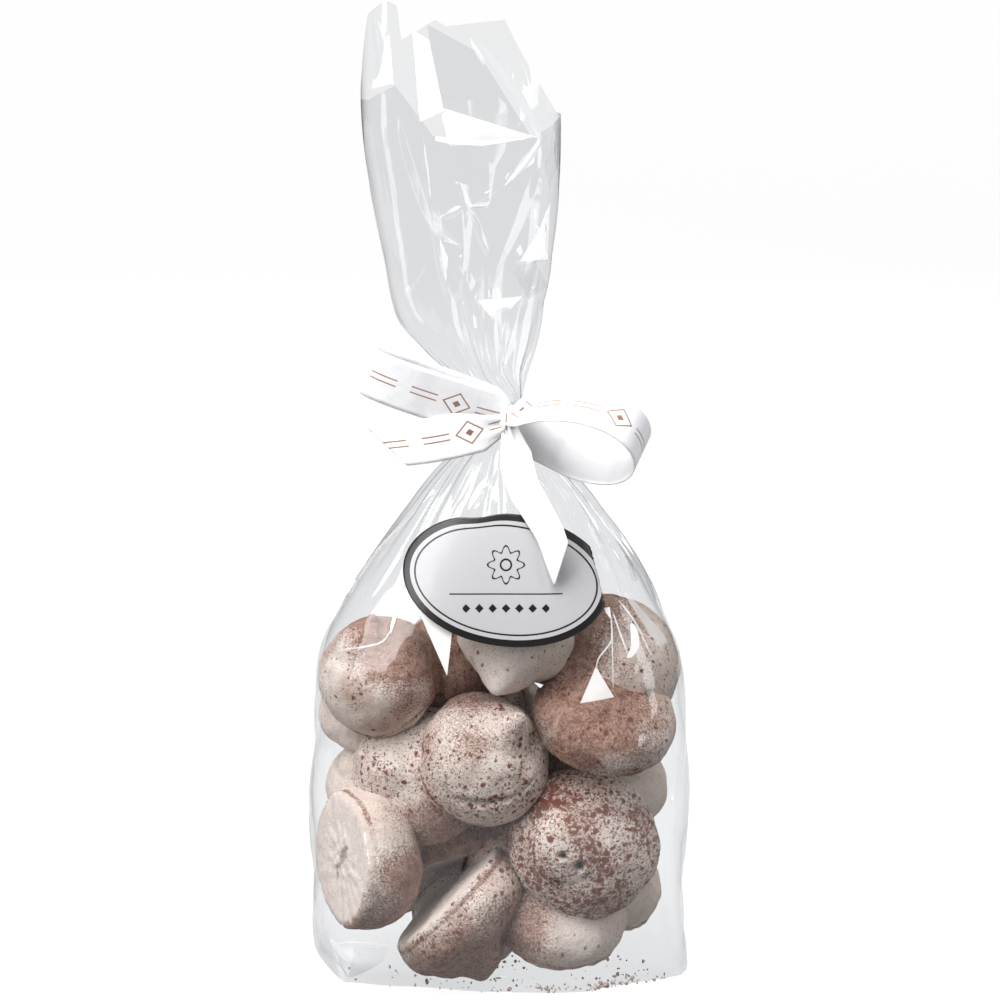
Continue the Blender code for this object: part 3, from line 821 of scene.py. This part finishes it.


# Folds of the tail: how white each is, partly painted highlight, then four corners, x, y, z in mm
TAIL_FOLDS_AND_HIGHLIGHTS = [
    (0.35, (-26.2, 9.4, 292.9), (-21.0, 5.0, 289.8), (-16.4, -8.3, 269.1), (-23.7, -6.1, 265.7)),
    (0.5, (-17.8, -7.0, 270.3), (2.3, -8.0, 264.0), (11.5, -8.0, 261.2), (-14.8, -9.0, 258.6)),
    (0.1, (-36.0, -0.3, 289.0), (-32.9, -0.7, 291.6), (-31.4, -8.9, 277.3), (-38.1, -6.1, 275.6)),
    (0.0, (-21.6, 11.0, 294.3), (-6.3, 11.0, 285.9), (9.6, 11.0, 260.9), (-17.9, 11.0, 268.3)),
    (0.45, (15.8, 7.2, 240.4), (14.8, -4.5, 224.1), (6.6, -4.5, 223.5), (12.1, 1.7, 232.5)),
    (0.5, (-6.3, -2.7, 211.5), (7.2, -2.5, 212.7), (4.1, -4.8, 209.3), (-2.6, -6.1, 207.0)),
    (0.3, (13.0, -1.2, 261.0), (10.6, -6.5, 253.4), (1.7, -11.0, 246.6), (7.2, -5.4, 254.8)),
    (0.4, (-11.5, -5.4, 247.4), (-9.3, -6.1, 246.6), (-7.8, -10.7, 240.4), (-9.9, -9.8, 241.5)),
    (0.4, (-9.9, -7.6, 240.9), (-2.6, -7.4, 241.8), (-3.2, -8.5, 240.1), (-8.7, -8.5, 239.8)),
    (0.4, (-21.9, -4.0, 236.4), (-17.9, -8.1, 232.6), (-11.5, -13.4, 229.1), (-16.1, -10.5, 229.9)),
    (0.5, (-17.6, -5.1, 230.4), (-15.1, -9.3, 224.8), (-15.8, -12.4, 218.1), (-17.6, -9.2, 222.3)),
    (0.25, (12.1, -2.0, 261.5), (18.8, -2.0, 267.6), (18.2, -2.0, 253.7), (15.5, -2.0, 245.4)),
    (0.3, (4.4, 2.0, 220.1), (11.2, 2.0, 223.2), (15.1, 2.0, 215.2), (9.0, 2.0, 211.4)),
]
# Folds pressed flat on the body's front, white as painted highlights: how white, then four corners, x, z in mm
FLAT_FOLDS_AND_HIGHLIGHTS = [
    (0.75, (-26.3, 125.7), (-13.9, 114.4), (-15.3, 101.7), (-15.5, 101.7)),
    (0.85, (29.2, 103.8), (29.4, 103.8), (34.8, 94.6), (24.5, 93.1)),
    (0.85, (10.6, 99.6), (13.5, 98.8), (12.7, 97.9), (12.5, 97.9)),
    (0.85, (31.8, 120.9), (33.6, 121.1), (33.9, 117.6), (32.4, 119.4)),
    (0.6, (-47.1, 124.3), (-43.3, 126.5), (-45.4, 122.8), (-46.7, 121.5)),
    (0.3, (38.2, 134.6), (40.0, 134.0), (42.2, 127.5), (40.6, 127.0)),
    (0.45, (37.5, 125.0), (38.8, 125.0), (52.0, 109.0), (48.5, 108.0)),
    (0.4, (-50.8, 15.9), (-43.9, 16.4), (-44.0, 10.4), (-44.2, 10.4)),
    (0.2, (-43.9, 16.4), (-33.4, 17.0), (-35.0, 12.5), (-46.0, 4.6)),
]
# Sharp creases on the body's front, white as painted highlights: how white, the width in mm, then stops, x, z
# in mm
SEAMS_AND_HIGHLIGHTS = [
    (0.7, 1.1, (-29.0, 126.1), (-31.1, 118.7), (-32.5, 113.4)),
    (0.4, 0.5, (-32.2, 114.6), (-34.7, 111.1), (-38.9, 109.4), (-46.5, 107.7)),
    (0.3, 0.8, (-24.9, 148.1), (-37.5, 134.6), (-45.4, 122.0), (-51.0, 113.6)),
    (0.55, 0.9, (-46.5, 122.0), (-49.3, 117.3), (-51.6, 112.8)),
    (0.45, 1.5, (22.0, 155.7), (26.3, 149.3), (29.8, 141.0), (33.8, 134.3), (36.9, 127.2)),
    (0.6, 0.45, (33.9, 118.6), (34.2, 112.4), (29.8, 105.6), (29.3, 103.0)),
    (0.6, 0.45, (34.5, 119.3), (38.9, 107.2)),
    (0.6, 0.5, (36.2, 122.9), (41.2, 116.2), (46.3, 105.9)),
    (0.5, 0.35, (34.2, 112.4), (34.5, 97.3)),
    (0.8, 2.4, (40.0, 116.0), (41.0, 113.0), (41.2, 110.0), (40.4, 107.8), (38.8, 106.0)),
    (0.6, 0.7, (-51.2, 16.5), (-42.0, 18.3), (-32.2, 18.0)),
    (0.5, 0.6, (-51.0, 16.0), (-46.0, 5.0)),
]
FOLD_STEPS, SEAM_STEPS, LIP_ROWS, LIP_COLUMNS = 10, 40, 8, 60
# The lip that the rim turns over: how deep it hangs, in mm, at angles round the film in degrees
LIP_TURN, LIP_DEEP = [245, 254, 268, 290, 322], [1.2, 1.6, 1.6, 1.2, 0.3]


def four_cornered(corners):
    """A grid of points between four corners given in millimetres."""
    p, q, r, t = np.array(corners) * MM
    side = np.linspace(0, 1, FOLD_STEPS)
    a, b = side[:, None, None], side[None, :, None]
    return (p * (1 - b) + q * b) * (1 - a) + (t * (1 - b) + r * b) * a


def film_folds_and_highlights(body):
    """Sheets between four corners each and lens-shaped strips along stops; and the rim's turned lip."""
    arch = np.sin(math.pi * np.linspace(0, 1, FOLD_STEPS))
    parts = [(four_cornered(corners), white) for white, *corners in TAIL_FOLDS_AND_HIGHLIGHTS]
    for flat, _ in parts:
        flat[..., 1] -= 0.5 * MM * arch[:, None] * arch[None, :]
    pressed = [(four_cornered(corners), white) for white, *corners in FLAT_FOLDS_AND_HIGHLIGHTS]
    for white, wide, *stops in SEAMS_AND_HIGHLIGHTS:
        line = through(stops, SEAM_STEPS)
        ahead = np.gradient(line, axis=0)
        over = np.stack([ahead[:, 1], -ahead[:, 0]], axis=-1) / np.linalg.norm(ahead, axis=1, keepdims=True)
        share = np.linspace(0, 1, SEAM_STEPS)
        half = wide / 2 * MM * np.sqrt(4 * share * (1 - share))[:, None] + 0.04 * MM
        pressed.append((np.stack([line - over * half, line, line + over * half], axis=1), white))
    skin = body[(body[:, 1] < -5 * MM) & (body[:, 2] > 3 * MM)]
    for flat, white in pressed:
        x, z = flat[..., 0], flat[..., 1]
        away = (x[..., None] - skin[:, 0]) ** 2 + (z[..., None] - skin[:, 2]) ** 2
        near = np.exp(-away / (0.7 * MM) ** 2)
        y = np.sum(near * skin[:, 1], axis=-1) / np.sum(near, axis=-1)
        parts.append((np.stack([x, y - 0.3 * MM, z], axis=-1), white))
    turn = np.radians(np.linspace(LIP_TURN[0], LIP_TURN[-1], LIP_COLUMNS))
    rim = film(turn, rim_height(turn))
    drop = np.interp(np.degrees(turn), LIP_TURN, LIP_DEEP) * MM
    down = np.linspace(0, 1, LIP_ROWS)[:, None]
    lip = np.stack([rim[:, 0] + 0 * down, rim[:, 1] - 0.75 * drop * down, rim[:, 2] - drop * down], axis=-1)
    parts.append((lip, 0.5))
    # Each point's white: film lying double is milkier, and the white also paints highlights where the film
    # would mirror a soft box.
    whiteness_and_highlight = np.concatenate([np.full(points[..., 0].size, white) for points, white in parts])
    return *joined([points for points, _ in parts], False), whiteness_and_highlight


body_film = film_body()
for name, (points, faces, values), kind in (
    ("film_body", body_film, "base"),
    ("film_tail", film_tail(), "base"),
    ("film_folds_and_highlights", film_folds_and_highlights(body_film[0].reshape(-1, 3)), "doubled_and_highlight"),
):
    piece = add_piece(name, points, faces, film_look)
    add_values(piece, kind, values)
    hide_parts("bag")
    print(name, 2 * len(faces), "triangles")

# %% [markdown]
# ## Crumbs
# Broken bits of meringue and cocoa lie on the bag's floor, mostly along the front and in the right corner.
# Each crumb is a small lump with noise in its radius; all are one mesh.

# %% Crumbs
draw = np.random.RandomState(7)
CRUMBS, IN_FRONT = 220, 90
CRUMB_ROWS, CRUMB_COLUMNS = 6, 8
ways = all_ways(CRUMB_ROWS, CRUMB_COLUMNS)
each = CRUMB_ROWS * CRUMB_COLUMNS
size = np.exp(draw.normal(-0.95, 0.5, CRUMBS)).clip(0.15, 1.5)
turn = draw.uniform(0, 2 * math.pi, CRUMBS)
turn[:IN_FRONT] = draw.normal(-0.45, 0.4, IN_FRONT)
out = draw.uniform(0.2, 0.93, CRUMBS)
out[:IN_FRONT] = draw.uniform(0.6, 0.9, IN_FRONT)
edge = film(turn, np.full(CRUMBS, 3 * MM))
spot = edge * out[:, None]
spot[:, 2] = 1.0 * MM + size * MM * 0.75 + (edge[:, 2] - 3 * MM) * out**6
shift = draw.uniform(0, 30, (CRUMBS, 1, 1, 3))
lump = 1 + 0.45 * noise(ways[None] * 1.6 + shift, 91)
stretch = draw.uniform(0.5, 1.0, (CRUMBS, 1, 1, 3))
crumbs = spot[:, None, None, :] + ways[None] * stretch * (lump * size[:, None, None])[..., None] * MM
crumbs[..., 2] = np.maximum(crumbs[..., 2], 0.6 * MM)
points, faces = joined(crumbs, True)
crumb_piece = add_piece("crumbs", points, faces[:, ::-1], meringue_look)
for name, most in {"specks": 0.5, "tone": 0.8, "powder_and_shade": 0.7}.items():
    add_values(crumb_piece, name, np.repeat(draw.uniform(0, most, CRUMBS), each))
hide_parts("bag")
print("crumbs", CRUMBS, "of", round(float(size.min()), 1), "to", round(float(size.max()), 1), "mm radius")

# %% [markdown]
# ## Satin ribbon
# White double-faced satin, 15 mm wide: warp threads float over most of the surface, so it has a soft sheen
# and a fine line every half millimetre across. The sheen's bands along the ribbon are painted: the colour
# goes pale blue-grey in soft bands where the satin would turn away from the light. A rose-gold print of
# lozenges and short bars stands in for the real one's lettering.

# %% Ribbon material
satin_look, tree = new_material("satin_white_woven")
flat = add(tree, "UVMap", uv_map="flat_mm")
axes = add(tree, "SeparateXYZ", [flat])
from_print = add(tree, "Math", [axes.outputs["X"], 17.0], operation="PINGPONG")
from_middle = add(tree, "Math", [axes.outputs["Y"]], operation="ABSOLUTE")
diamond = add(tree, "Math", [from_print, 0.8, from_middle], operation="MULTIPLY_ADD")
outline = add(tree, "Math", [diamond, 3.4, 0.28], operation="COMPARE")
heart = add(tree, "Math", [diamond, 1.1], operation="LESS_THAN")
lines = add(tree, "Math", [from_middle, 0.9, 0.2], operation="COMPARE")
between = add(tree, "Math", [from_print, 10.5, 4.2], operation="COMPARE")
bars = add(tree, "Math", [lines, between], operation="MULTIPLY")
printed = add(tree, "Math", [outline, heart], operation="MAXIMUM")
printed = add(tree, "Math", [printed, bars], operation="MAXIMUM")
threads = add(
    tree, "TexWave", {"Vector": flat, "Scale": 1.1, "Distortion": 0.4, "Detail": 1.0}, bands_direction="Y"
)
slub = add(tree, "TexNoise", {"Vector": flat, "Scale": 0.35, "Detail": 3.0})
# Painted sheen: soft blue-grey bands along the ribbon stand where the satin would turn away from the light.
along = add(tree, "Math", [axes.outputs["X"], 0.10], operation="MULTIPLY")
turned = add(tree, "TexNoise", {"W": along, "Scale": 1.0, "Detail": 0.0}, noise_dimensions="1D")
turned = add(tree, "Math", [turned, 5.0, -2.7], operation="MULTIPLY_ADD", use_clamp=True)
cloth_and_painted_sheen = add(tree, "Mix", {"Factor": turned, 6: color("F8F8FB"), 7: color("E6E7EF")}, data_type="RGBA")
shade = add(tree, "Mix", {"Factor": printed, 6: cloth_and_painted_sheen.outputs[2], 7: color("94674F")}, data_type="RGBA")
weave = add(tree, "Bump", {"Height": threads.outputs["Fac"], "Strength": 0.12, "Distance": 0.0001})
wavy = add(tree, "Bump", {"Height": slub, "Strength": 0.2, "Distance": 0.0012, "Normal": weave})
satin = add(
    tree,
    "BsdfPrincipled",
    {
        "Base Color": shade.outputs[2],
        "Roughness": 0.34,
        "IOR": 1.52,
        "Anisotropic": 0.6,
        "Subsurface Weight": 0.2,
        "Subsurface Radius": (1.0, 1.0, 1.0),
        "Subsurface Scale": 0.003,
        "Sheen Weight": 0.3,
        "Sheen Roughness": 0.4,
        "Normal": wavy,
    },
)
finish_with(tree, satin)

# %% [markdown]
# ## Ribbon form
# Two loops and two ends leave one knot in front of the tie. A loop runs out, round and back as a teardrop,
# and narrows where the knot gathers it. Where a strip meets the film it is moved out to lie on it. The
# strips are 0.4 mm thick, which takes in the ribbon's soft body.

# %% Ribbon pieces
RIBBON_WIDE, RIBBON_THICK = 15 * MM, 0.4 * MM
LANES, LOOP_STEPS, END_STEPS = 13, 150, 70
OFF_PRINT = 100
TIE_AT = np.array([2.7, 0, 176.7]) * MM
KNOT_AT = np.array([3.2, -8.4, 176.2]) * MM


def clear_of_film(points, gap):
    """Points inside the film, or nearer to it than gap, move level outwards until they are clear of it."""
    middle, wide, deep, square = section(points[..., 2])
    x, y = points[..., 0] - middle, points[..., 1]
    share = (np.abs(x / wide) ** square + np.abs(y / deep) ** square) ** (1 / square)
    grow = np.maximum(1, (1 + gap / np.minimum(wide, deep)) / share)
    return np.stack([middle + x * grow, y * grow, points[..., 2]], axis=-1)


def strip(name, line, across, wide, start, print_side, cut=0.0, gap=0.9 * MM):
    """A flat ribbon along a line with its width along across, one edge longer by cut.

    It is pleated where it is narrow. start is how far along the print it begins, in mm. print_side is 1 or
    -1, the face that is printed; the map moves the other face off the print.
    """
    ahead = np.gradient(line, axis=0)
    length = run_along(line)
    ahead = ahead / np.linalg.norm(ahead, axis=1, keepdims=True)
    across = across - ahead * np.sum(across * ahead, axis=1, keepdims=True)
    across = across / np.linalg.norm(across, axis=1, keepdims=True)
    out = np.cross(ahead, across)
    slide = ahead * (cut / 2 * np.linspace(0, 1, len(line)) ** 4)[:, None]
    half = across * wide[:, None] / 2 + slide
    lanes = np.linspace(-1, 1, LANES)[None, :, None]
    pinch = (1 - wide / wide.max())[:, None, None]
    pleats = 1.4 * MM * pinch * np.cos(lanes * 7) * out[:, None, :]
    face = clear_of_film(line[:, None, :] + half[:, None, :] * lanes + pleats, gap + RIBBON_THICK / 2)
    lift = out[:, None, :] * RIBBON_THICK / 2
    rings = np.concatenate((face - lift, (face + lift)[:, ::-1]), axis=1)
    faces = grid_faces(len(rings), rings.shape[1], True).tolist()
    around = 2 * LANES
    last = (len(rings) - 1) * around
    faces += [list(range(around - 1, -1, -1)), list(range(last, last + around))]
    piece = add_piece(name, rings, faces, satin_look)
    spread = np.concatenate((lanes[0, :, 0], lanes[0, ::-1, 0]))[None, :] * (wide / MM / 2)[:, None]
    run = np.repeat(start + length[:, None] / MM, around, axis=1)
    plain = np.where((np.arange(around) < LANES) == (print_side > 0), OFF_PRINT, 0)[None, :]
    add_uv(piece, np.stack([run, spread + plain], axis=-1))
    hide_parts("ribbon")
    print(name, "length, mm", round(float(length[-1]) * 1000, 1))


def loop(name, long, deep, along, across, start):
    """A strip out from the knot, round and back, narrow at the knot."""
    along = np.array(along) / np.linalg.norm(along)
    across = np.array(across) - along * np.dot(along, across)
    across = across / np.linalg.norm(across)
    side = np.cross(along, across)
    print_side = 1 if side[1] < 0 else -1
    side = side * print_side
    share = np.linspace(0.035, 0.965, LOOP_STEPS)
    out = (0.5 - 0.5 * np.cos(2 * math.pi * share)) * long
    apart = np.sin(2 * math.pi * share) * np.sin(math.pi * share) ** 0.6 * deep
    line = KNOT_AT + out[:, None] * along + apart[:, None] * side
    near = np.minimum(share, 1 - share)
    wide = RIBBON_WIDE * np.clip(0.32 + near / 0.17, 0, 1)
    strip(name, line, np.tile(across, (LOOP_STEPS, 1)), wide, start, print_side)


loop("ribbon_left_loop", 45 * MM, 4.8 * MM, (-0.93, -0.13, 0.33), (0.31, -0.17, 0.93), 17)
loop("ribbon_right_loop", 43 * MM, 15.6 * MM, (0.93, -0.32, -0.16), (0.0, 0.766, 0.643), 28)
LEFT_STOPS = [(2.5, -9.5, 175), (-9, -13, 172.3), (-21.5, -15.5, 170.1), (-34, -16.5, 168.8)]
FRONT_STOPS = [(3.4, -9.5, 174), (7.3, -20, 157.5), (11.5, -25, 150.2), (15.2, -28.5, 144), (18.8, -33, 135)]
swell = RIBBON_WIDE * np.clip(0.4 + np.linspace(0, 2.2, END_STEPS), 0, 0.9)
strip(
    "ribbon_left_end",
    through(LEFT_STOPS, END_STEPS),
    np.tile([0.2, 0.12, 0.97], (END_STEPS, 1)),
    swell,
    22,
    -1,
    cut=11.5 * MM,
)
strip(
    "ribbon_front_end",
    through(FRONT_STOPS, END_STEPS),
    np.linspace([0.75, -0.2, 0.3], [0.66, -0.62, 0.18], END_STEPS),
    swell * 0.8,
    37,
    -1,
    cut=-9 * MM,
    gap=1.6 * MM,
)

# %% [markdown]
# ## Tie and knot
# The ribbon goes once round the neck as a flat band: a ring with a boxy section and faint ridges. The knot
# in front is a small ball pulled towards a box, with pleats where the strips run into it.

# %% Tie and knot
TIE_ROWS, TIE_COLUMNS = 24, 96
KNOT_ROWS, KNOT_COLUMNS = 40, 60
turn, ring = turns(TIE_COLUMNS)[None, :], turns(TIE_ROWS)[:, None]
bulge = 0.75 * MM * np.sign(np.cos(ring)) * np.abs(np.cos(ring)) ** 0.7
radius = 6.5 * MM + bulge + 0.12 * MM * np.sin(9 * ring + 3 * np.sin(turn))
level = 3.0 * MM * np.sign(np.sin(ring)) * np.abs(np.sin(ring)) ** 0.7 * (1 + 0.1 * np.sin(2 * turn))
tie_points = np.stack([radius * np.cos(turn), radius * np.sin(turn), level + 0 * turn], axis=-1) + TIE_AT
last = (TIE_ROWS - 1) * TIE_COLUMNS
closing = grid_faces(2, TIE_COLUMNS, True)
closing = np.where(closing < TIE_COLUMNS, closing + last, closing - TIE_COLUMNS)
faces = np.concatenate((grid_faces(TIE_ROWS, TIE_COLUMNS, True), closing))
tie = add_piece("ribbon_tie", tie_points, faces, satin_look)
add_uv(tie, np.stack([turn * 6.5 + 0 * ring + 29, 0 * turn + np.sin(ring) * 3], axis=-1))
ways = all_ways(KNOT_ROWS, KNOT_COLUMNS)
boxy = np.sign(ways) * np.abs(ways) ** 0.72
pleat = 1 + 0.06 * np.sin(5 * boxy[..., 0] * 2.2 + boxy[..., 2] * 1.5)[..., None]
knot_points = KNOT_AT + boxy * pleat * np.array([3.7, 2.5, 4.2]) * MM
faces = grid_faces(KNOT_ROWS, KNOT_COLUMNS, True)[:, ::-1]
knot = add_piece("ribbon_knot", knot_points, faces, satin_look)
add_uv(knot, np.stack([boxy[..., 2] * 4 + 26, boxy[..., 0] * 4], axis=-1))
for piece in (tie, knot):
    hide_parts("ribbon")

# %% [markdown]
# ## Label finish
# Coated paper, off-white, with a black border and a fine inner line. A rosette, a rule and a row of small
# lozenges fill its middle. The border follows the rim: each point of the mesh knows how far off it is.

# %% Label material
label_look, tree = new_material("label_paper_printed")
flat = add(tree, "UVMap", uv_map="flat_mm")
axes = add(tree, "SeparateXYZ", [flat])
along, across = axes.outputs["X"], axes.outputs["Y"]
edge = add(tree, "Attribute", attribute_name="from_rim").outputs["Fac"]
border = add(tree, "Math", [edge, 2.2], operation="LESS_THAN")
hairline = add(tree, "Math", [edge, 3.9, 0.32], operation="COMPARE")
reach = add(tree, "VectorMath", [flat, (0, 4.5, 0)], operation="DISTANCE").outputs["Value"]
rise = add(tree, "Math", [across, 4.5], operation="SUBTRACT")
angle = add(tree, "Math", [rise, along], operation="ARCTAN2")
angle = add(tree, "Math", [angle, 8.0], operation="MULTIPLY")
petal = add(tree, "Math", [angle], operation="COSINE")
petal = add(tree, "Math", [petal, 0.9, 4.6], operation="MULTIPLY_ADD")
petals = add(tree, "Math", [reach, petal, 0.28], operation="COMPARE")
heart = add(tree, "Math", [reach, 1.6, 0.28], operation="COMPARE")
rule_y = add(tree, "Math", [across, -4.0, 0.2], operation="COMPARE")
rule_x = add(tree, "Math", [along, 0.0, 17.0], operation="COMPARE")
rule = add(tree, "Math", [rule_y, rule_x], operation="MULTIPLY")
row_x = add(tree, "Math", [along, 2.0], operation="PINGPONG")
row_y = add(tree, "Math", [across, 8.2], operation="ADD")
row_y = add(tree, "Math", [row_y], operation="ABSOLUTE")
lozenge = add(tree, "Math", [row_x, row_y], operation="ADD")
lozenge = add(tree, "Math", [lozenge, 1.3], operation="LESS_THAN")
row_end = add(tree, "Math", [along, 0.0, 13.0], operation="COMPARE")
lozenges = add(tree, "Math", [lozenge, row_end], operation="MULTIPLY")
ink = border
for mark in (hairline, petals, heart, rule, lozenges):
    ink = add(tree, "Math", [ink, mark], operation="MAXIMUM")
shade = add(tree, "Mix", {"Factor": ink, 6: color("B0AFB2"), 7: color("1A1819")}, data_type="RGBA")
tooth = add(tree, "TexNoise", {"Vector": flat, "Scale": 0.5, "Detail": 4.0})
bump = add(tree, "Bump", {"Height": tooth, "Strength": 0.15, "Distance": 0.0006})
paper = add(
    tree, "BsdfPrincipled", {"Base Color": shade.outputs[2], "Roughness": 0.28, "IOR": 1.45, "Normal": bump}
)
finish_with(tree, paper)

# %% [markdown]
# ## Form of the label
# The label is an ellipse that lies on the film and bends with it. Its top edge dips a little into a
# pleat, and its right end is folded under along a straight line: what lies beyond the line is mirrored
# back and goes below the face. Its back is plain, as its map and its rim values are moved off the print.

# %% Label piece
LABEL_AT = (2.3 * MM, 129.7 * MM)
LABEL_HALF = (31.2 * MM, 19.4 * MM)
LABEL_TURN = math.radians(-7.3)
LABEL_ROWS, LABEL_COLUMNS = 56, 180
# The line that the right end is folded under along: a point on it, x and z, and the way across it, x, y, z
FOLD_AT = (27.7 * MM, 139.7 * MM)
FOLD_WAY = np.array([0.968, 0, 0.25])


def bag_front(x, z):
    """The front of the bag's smooth outer shape, in Y, at x and height z."""
    middle, wide, deep, square = section(z)
    share = np.clip(np.abs(x - middle) / wide, 0, 1)
    return -deep * (1 - share**square) ** (1 / square)


turn = turns(LABEL_COLUMNS)[None, :]
share = np.linspace(1, 0.01, LABEL_ROWS)[:, None]
u, v = share * LABEL_HALF[0] * np.cos(turn), share * LABEL_HALF[1] * np.sin(turn)
v = v - 1.5 * MM * np.exp(-(((u + 11 * MM) / (6 * MM)) ** 2)) * np.clip(v / LABEL_HALF[1], 0, 1) ** 2
x = LABEL_AT[0] + u * math.cos(LABEL_TURN) - v * math.sin(LABEL_TURN)
z = LABEL_AT[1] + u * math.sin(LABEL_TURN) + v * math.cos(LABEL_TURN)
wave = 0.35 * MM * np.sin(x / (9 * MM) + 1) * np.sin(z / (17 * MM))
wave = wave + 0.25 * MM * fold(x / (31 * MM) + z / (80 * MM))
uv = np.stack([x - LABEL_AT[0], z - LABEL_AT[1]], axis=-1) / MM
face = np.stack([x, bag_front(x, z) - 0.9 * MM + wave, z], axis=-1)
over = np.maximum((x - FOLD_AT[0]) * FOLD_WAY[0] + (z - FOLD_AT[1]) * FOLD_WAY[2], 0)[..., None]
under = np.clip(over / (0.8 * MM), 0, 1) * 0.4 * MM
face = face - over * 2 * FOLD_WAY + under * np.array([0, 1, 0])
slope = np.sqrt((u / LABEL_HALF[0] ** 2) ** 2 + (v / LABEL_HALF[1] ** 2) ** 2)
from_rim = (1 - share**2) / (2 * np.maximum(slope, 1)) / MM
rings = np.concatenate((face[::-1] + np.array([0, 0.2 * MM, 0]), face))
label = add_piece("label", rings, grid_faces(len(rings), LABEL_COLUMNS, True), label_look)
add_values(label, "from_rim", np.concatenate((from_rim[::-1] + OFF_PRINT, from_rim)))
add_uv(label, np.concatenate((uv[::-1] + OFF_PRINT, uv)))
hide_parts("label")
print("label, mm", [round(2 * h / MM, 1) for h in LABEL_HALF])

# %% [markdown]
# ## Floor and backdrop
# A plain white sweep carries the bag: a round floor that curves up into a wall on every side, so the object
# stands before white from any angle. It glows a little, as a lit white backdrop does, and only the camera
# sees that glow. The film would mirror a bright floor in front of the bag as a haze over its dark gaps, so
# the film mirrors a smaller sheet that starts just before the bag.

# %% Floor and backdrop
white_look, tree = new_material("white_studio_sweep")
matt = add(
    tree,
    "BsdfPrincipled",
    {
        "Base Color": color("626262"),
        "Roughness": 0.9,
        "Emission Color": color("FFFFFF"),
        "Emission Strength": 0.92,
    },
)
finish_with(tree, matt)


def stage_piece(name, points, wrap):
    """A stage mesh from rows of points, which lights nothing by its glow."""
    piece = add_mesh(name, points, grid_faces(*points.shape[:2], wrap), white_look)
    piece.visible_diffuse = False
    piece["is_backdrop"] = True
    return piece


reach = np.array([0.001, 0.15, 0.5, 1.4, 2.2, 2.5, 2.66, 2.7, 2.7])[:, None]
rise = np.array([0, 0, 0, 0, 0.03, 0.14, 0.4, 0.9, 3.2])[:, None]
turn = turns(96)[None, :]
bowl = np.stack([reach * np.cos(turn), reach * np.sin(turn), rise - 0.0001 + 0 * turn], axis=-1)
seen = stage_piece("sweep", bowl, True)
seen.visible_glossy = False
x, y = np.meshgrid([-2.5, 2.5], [-0.3, -0.1, 2.5])
mirrored = stage_piece("sweep_in_film", np.stack([x, y, 0 * x - 0.0002], axis=-1), False)
mirrored.visible_camera = False
mirrored.visible_shadow = False
print("sweep, m across", 2 * float(reach[-1, 0]))

# %% [markdown]
# ## Lights
# Soft boxes on the left, the right, above and behind give the meringues their modelling and the film its
# white streaks. The dimmer room shows between them in the film and fills the shadows.


# %% Lights
def softbox(name, at, aim, wide, high, power):
    """A rectangular light at a place in metres, turned to a point."""
    data = bpy.data.lights.new(name, "AREA")
    data.shape = "RECTANGLE"
    data.size, data.size_y, data.energy = wide, high, power
    lamp = add_object(name, data)
    way = np.array(aim) - np.array(at)
    flat_reach = math.hypot(way[0], way[1])
    lamp.rotation_euler = (math.atan2(flat_reach, -way[2]), 0, math.atan2(-way[0], way[1]))
    lamp.location = at
    lamp.visible_camera = False


softbox("key_left", (-1.2, -1.0, 1.05), (0, 0, 0.14), 1.4, 1.8, 42)
softbox("strip_right", (1.25, -0.7, 0.65), (0, 0, 0.14), 0.35, 1.4, 7)
softbox("top", (-0.1, -0.6, 1.45), (0, 0, 0.1), 1.0, 0.8, 22)
softbox("back", (0.7, 1.5, 1.0), (0, 0, 0.12), 1.2, 1.0, 12)
world = bpy.data.worlds.new("room")
scene.world = world
world.use_nodes = True
room = world.node_tree.nodes["Background"]
room.inputs["Color"].default_value = color("FFFCF9")
room.inputs["Strength"].default_value = 0.16
scene.view_settings.view_transform = "Standard"
scene.cycles.transparent_max_bounces = 40
scene.cycles.max_bounces = 10
scene.cycles.diffuse_bounces = 2

# %% [markdown]
# ## Size and finish
# The finished model should fill the box of the imported solids, so both boxes are worked out and printed.

# %% Size and finish
size = {"cad": [list(map(float, p)) for p in cad_box], "visual": [list(map(float, p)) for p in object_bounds()]}
print("visual box, mm", [[round(c * 1000, 1) for c in p] for p in size["visual"]])
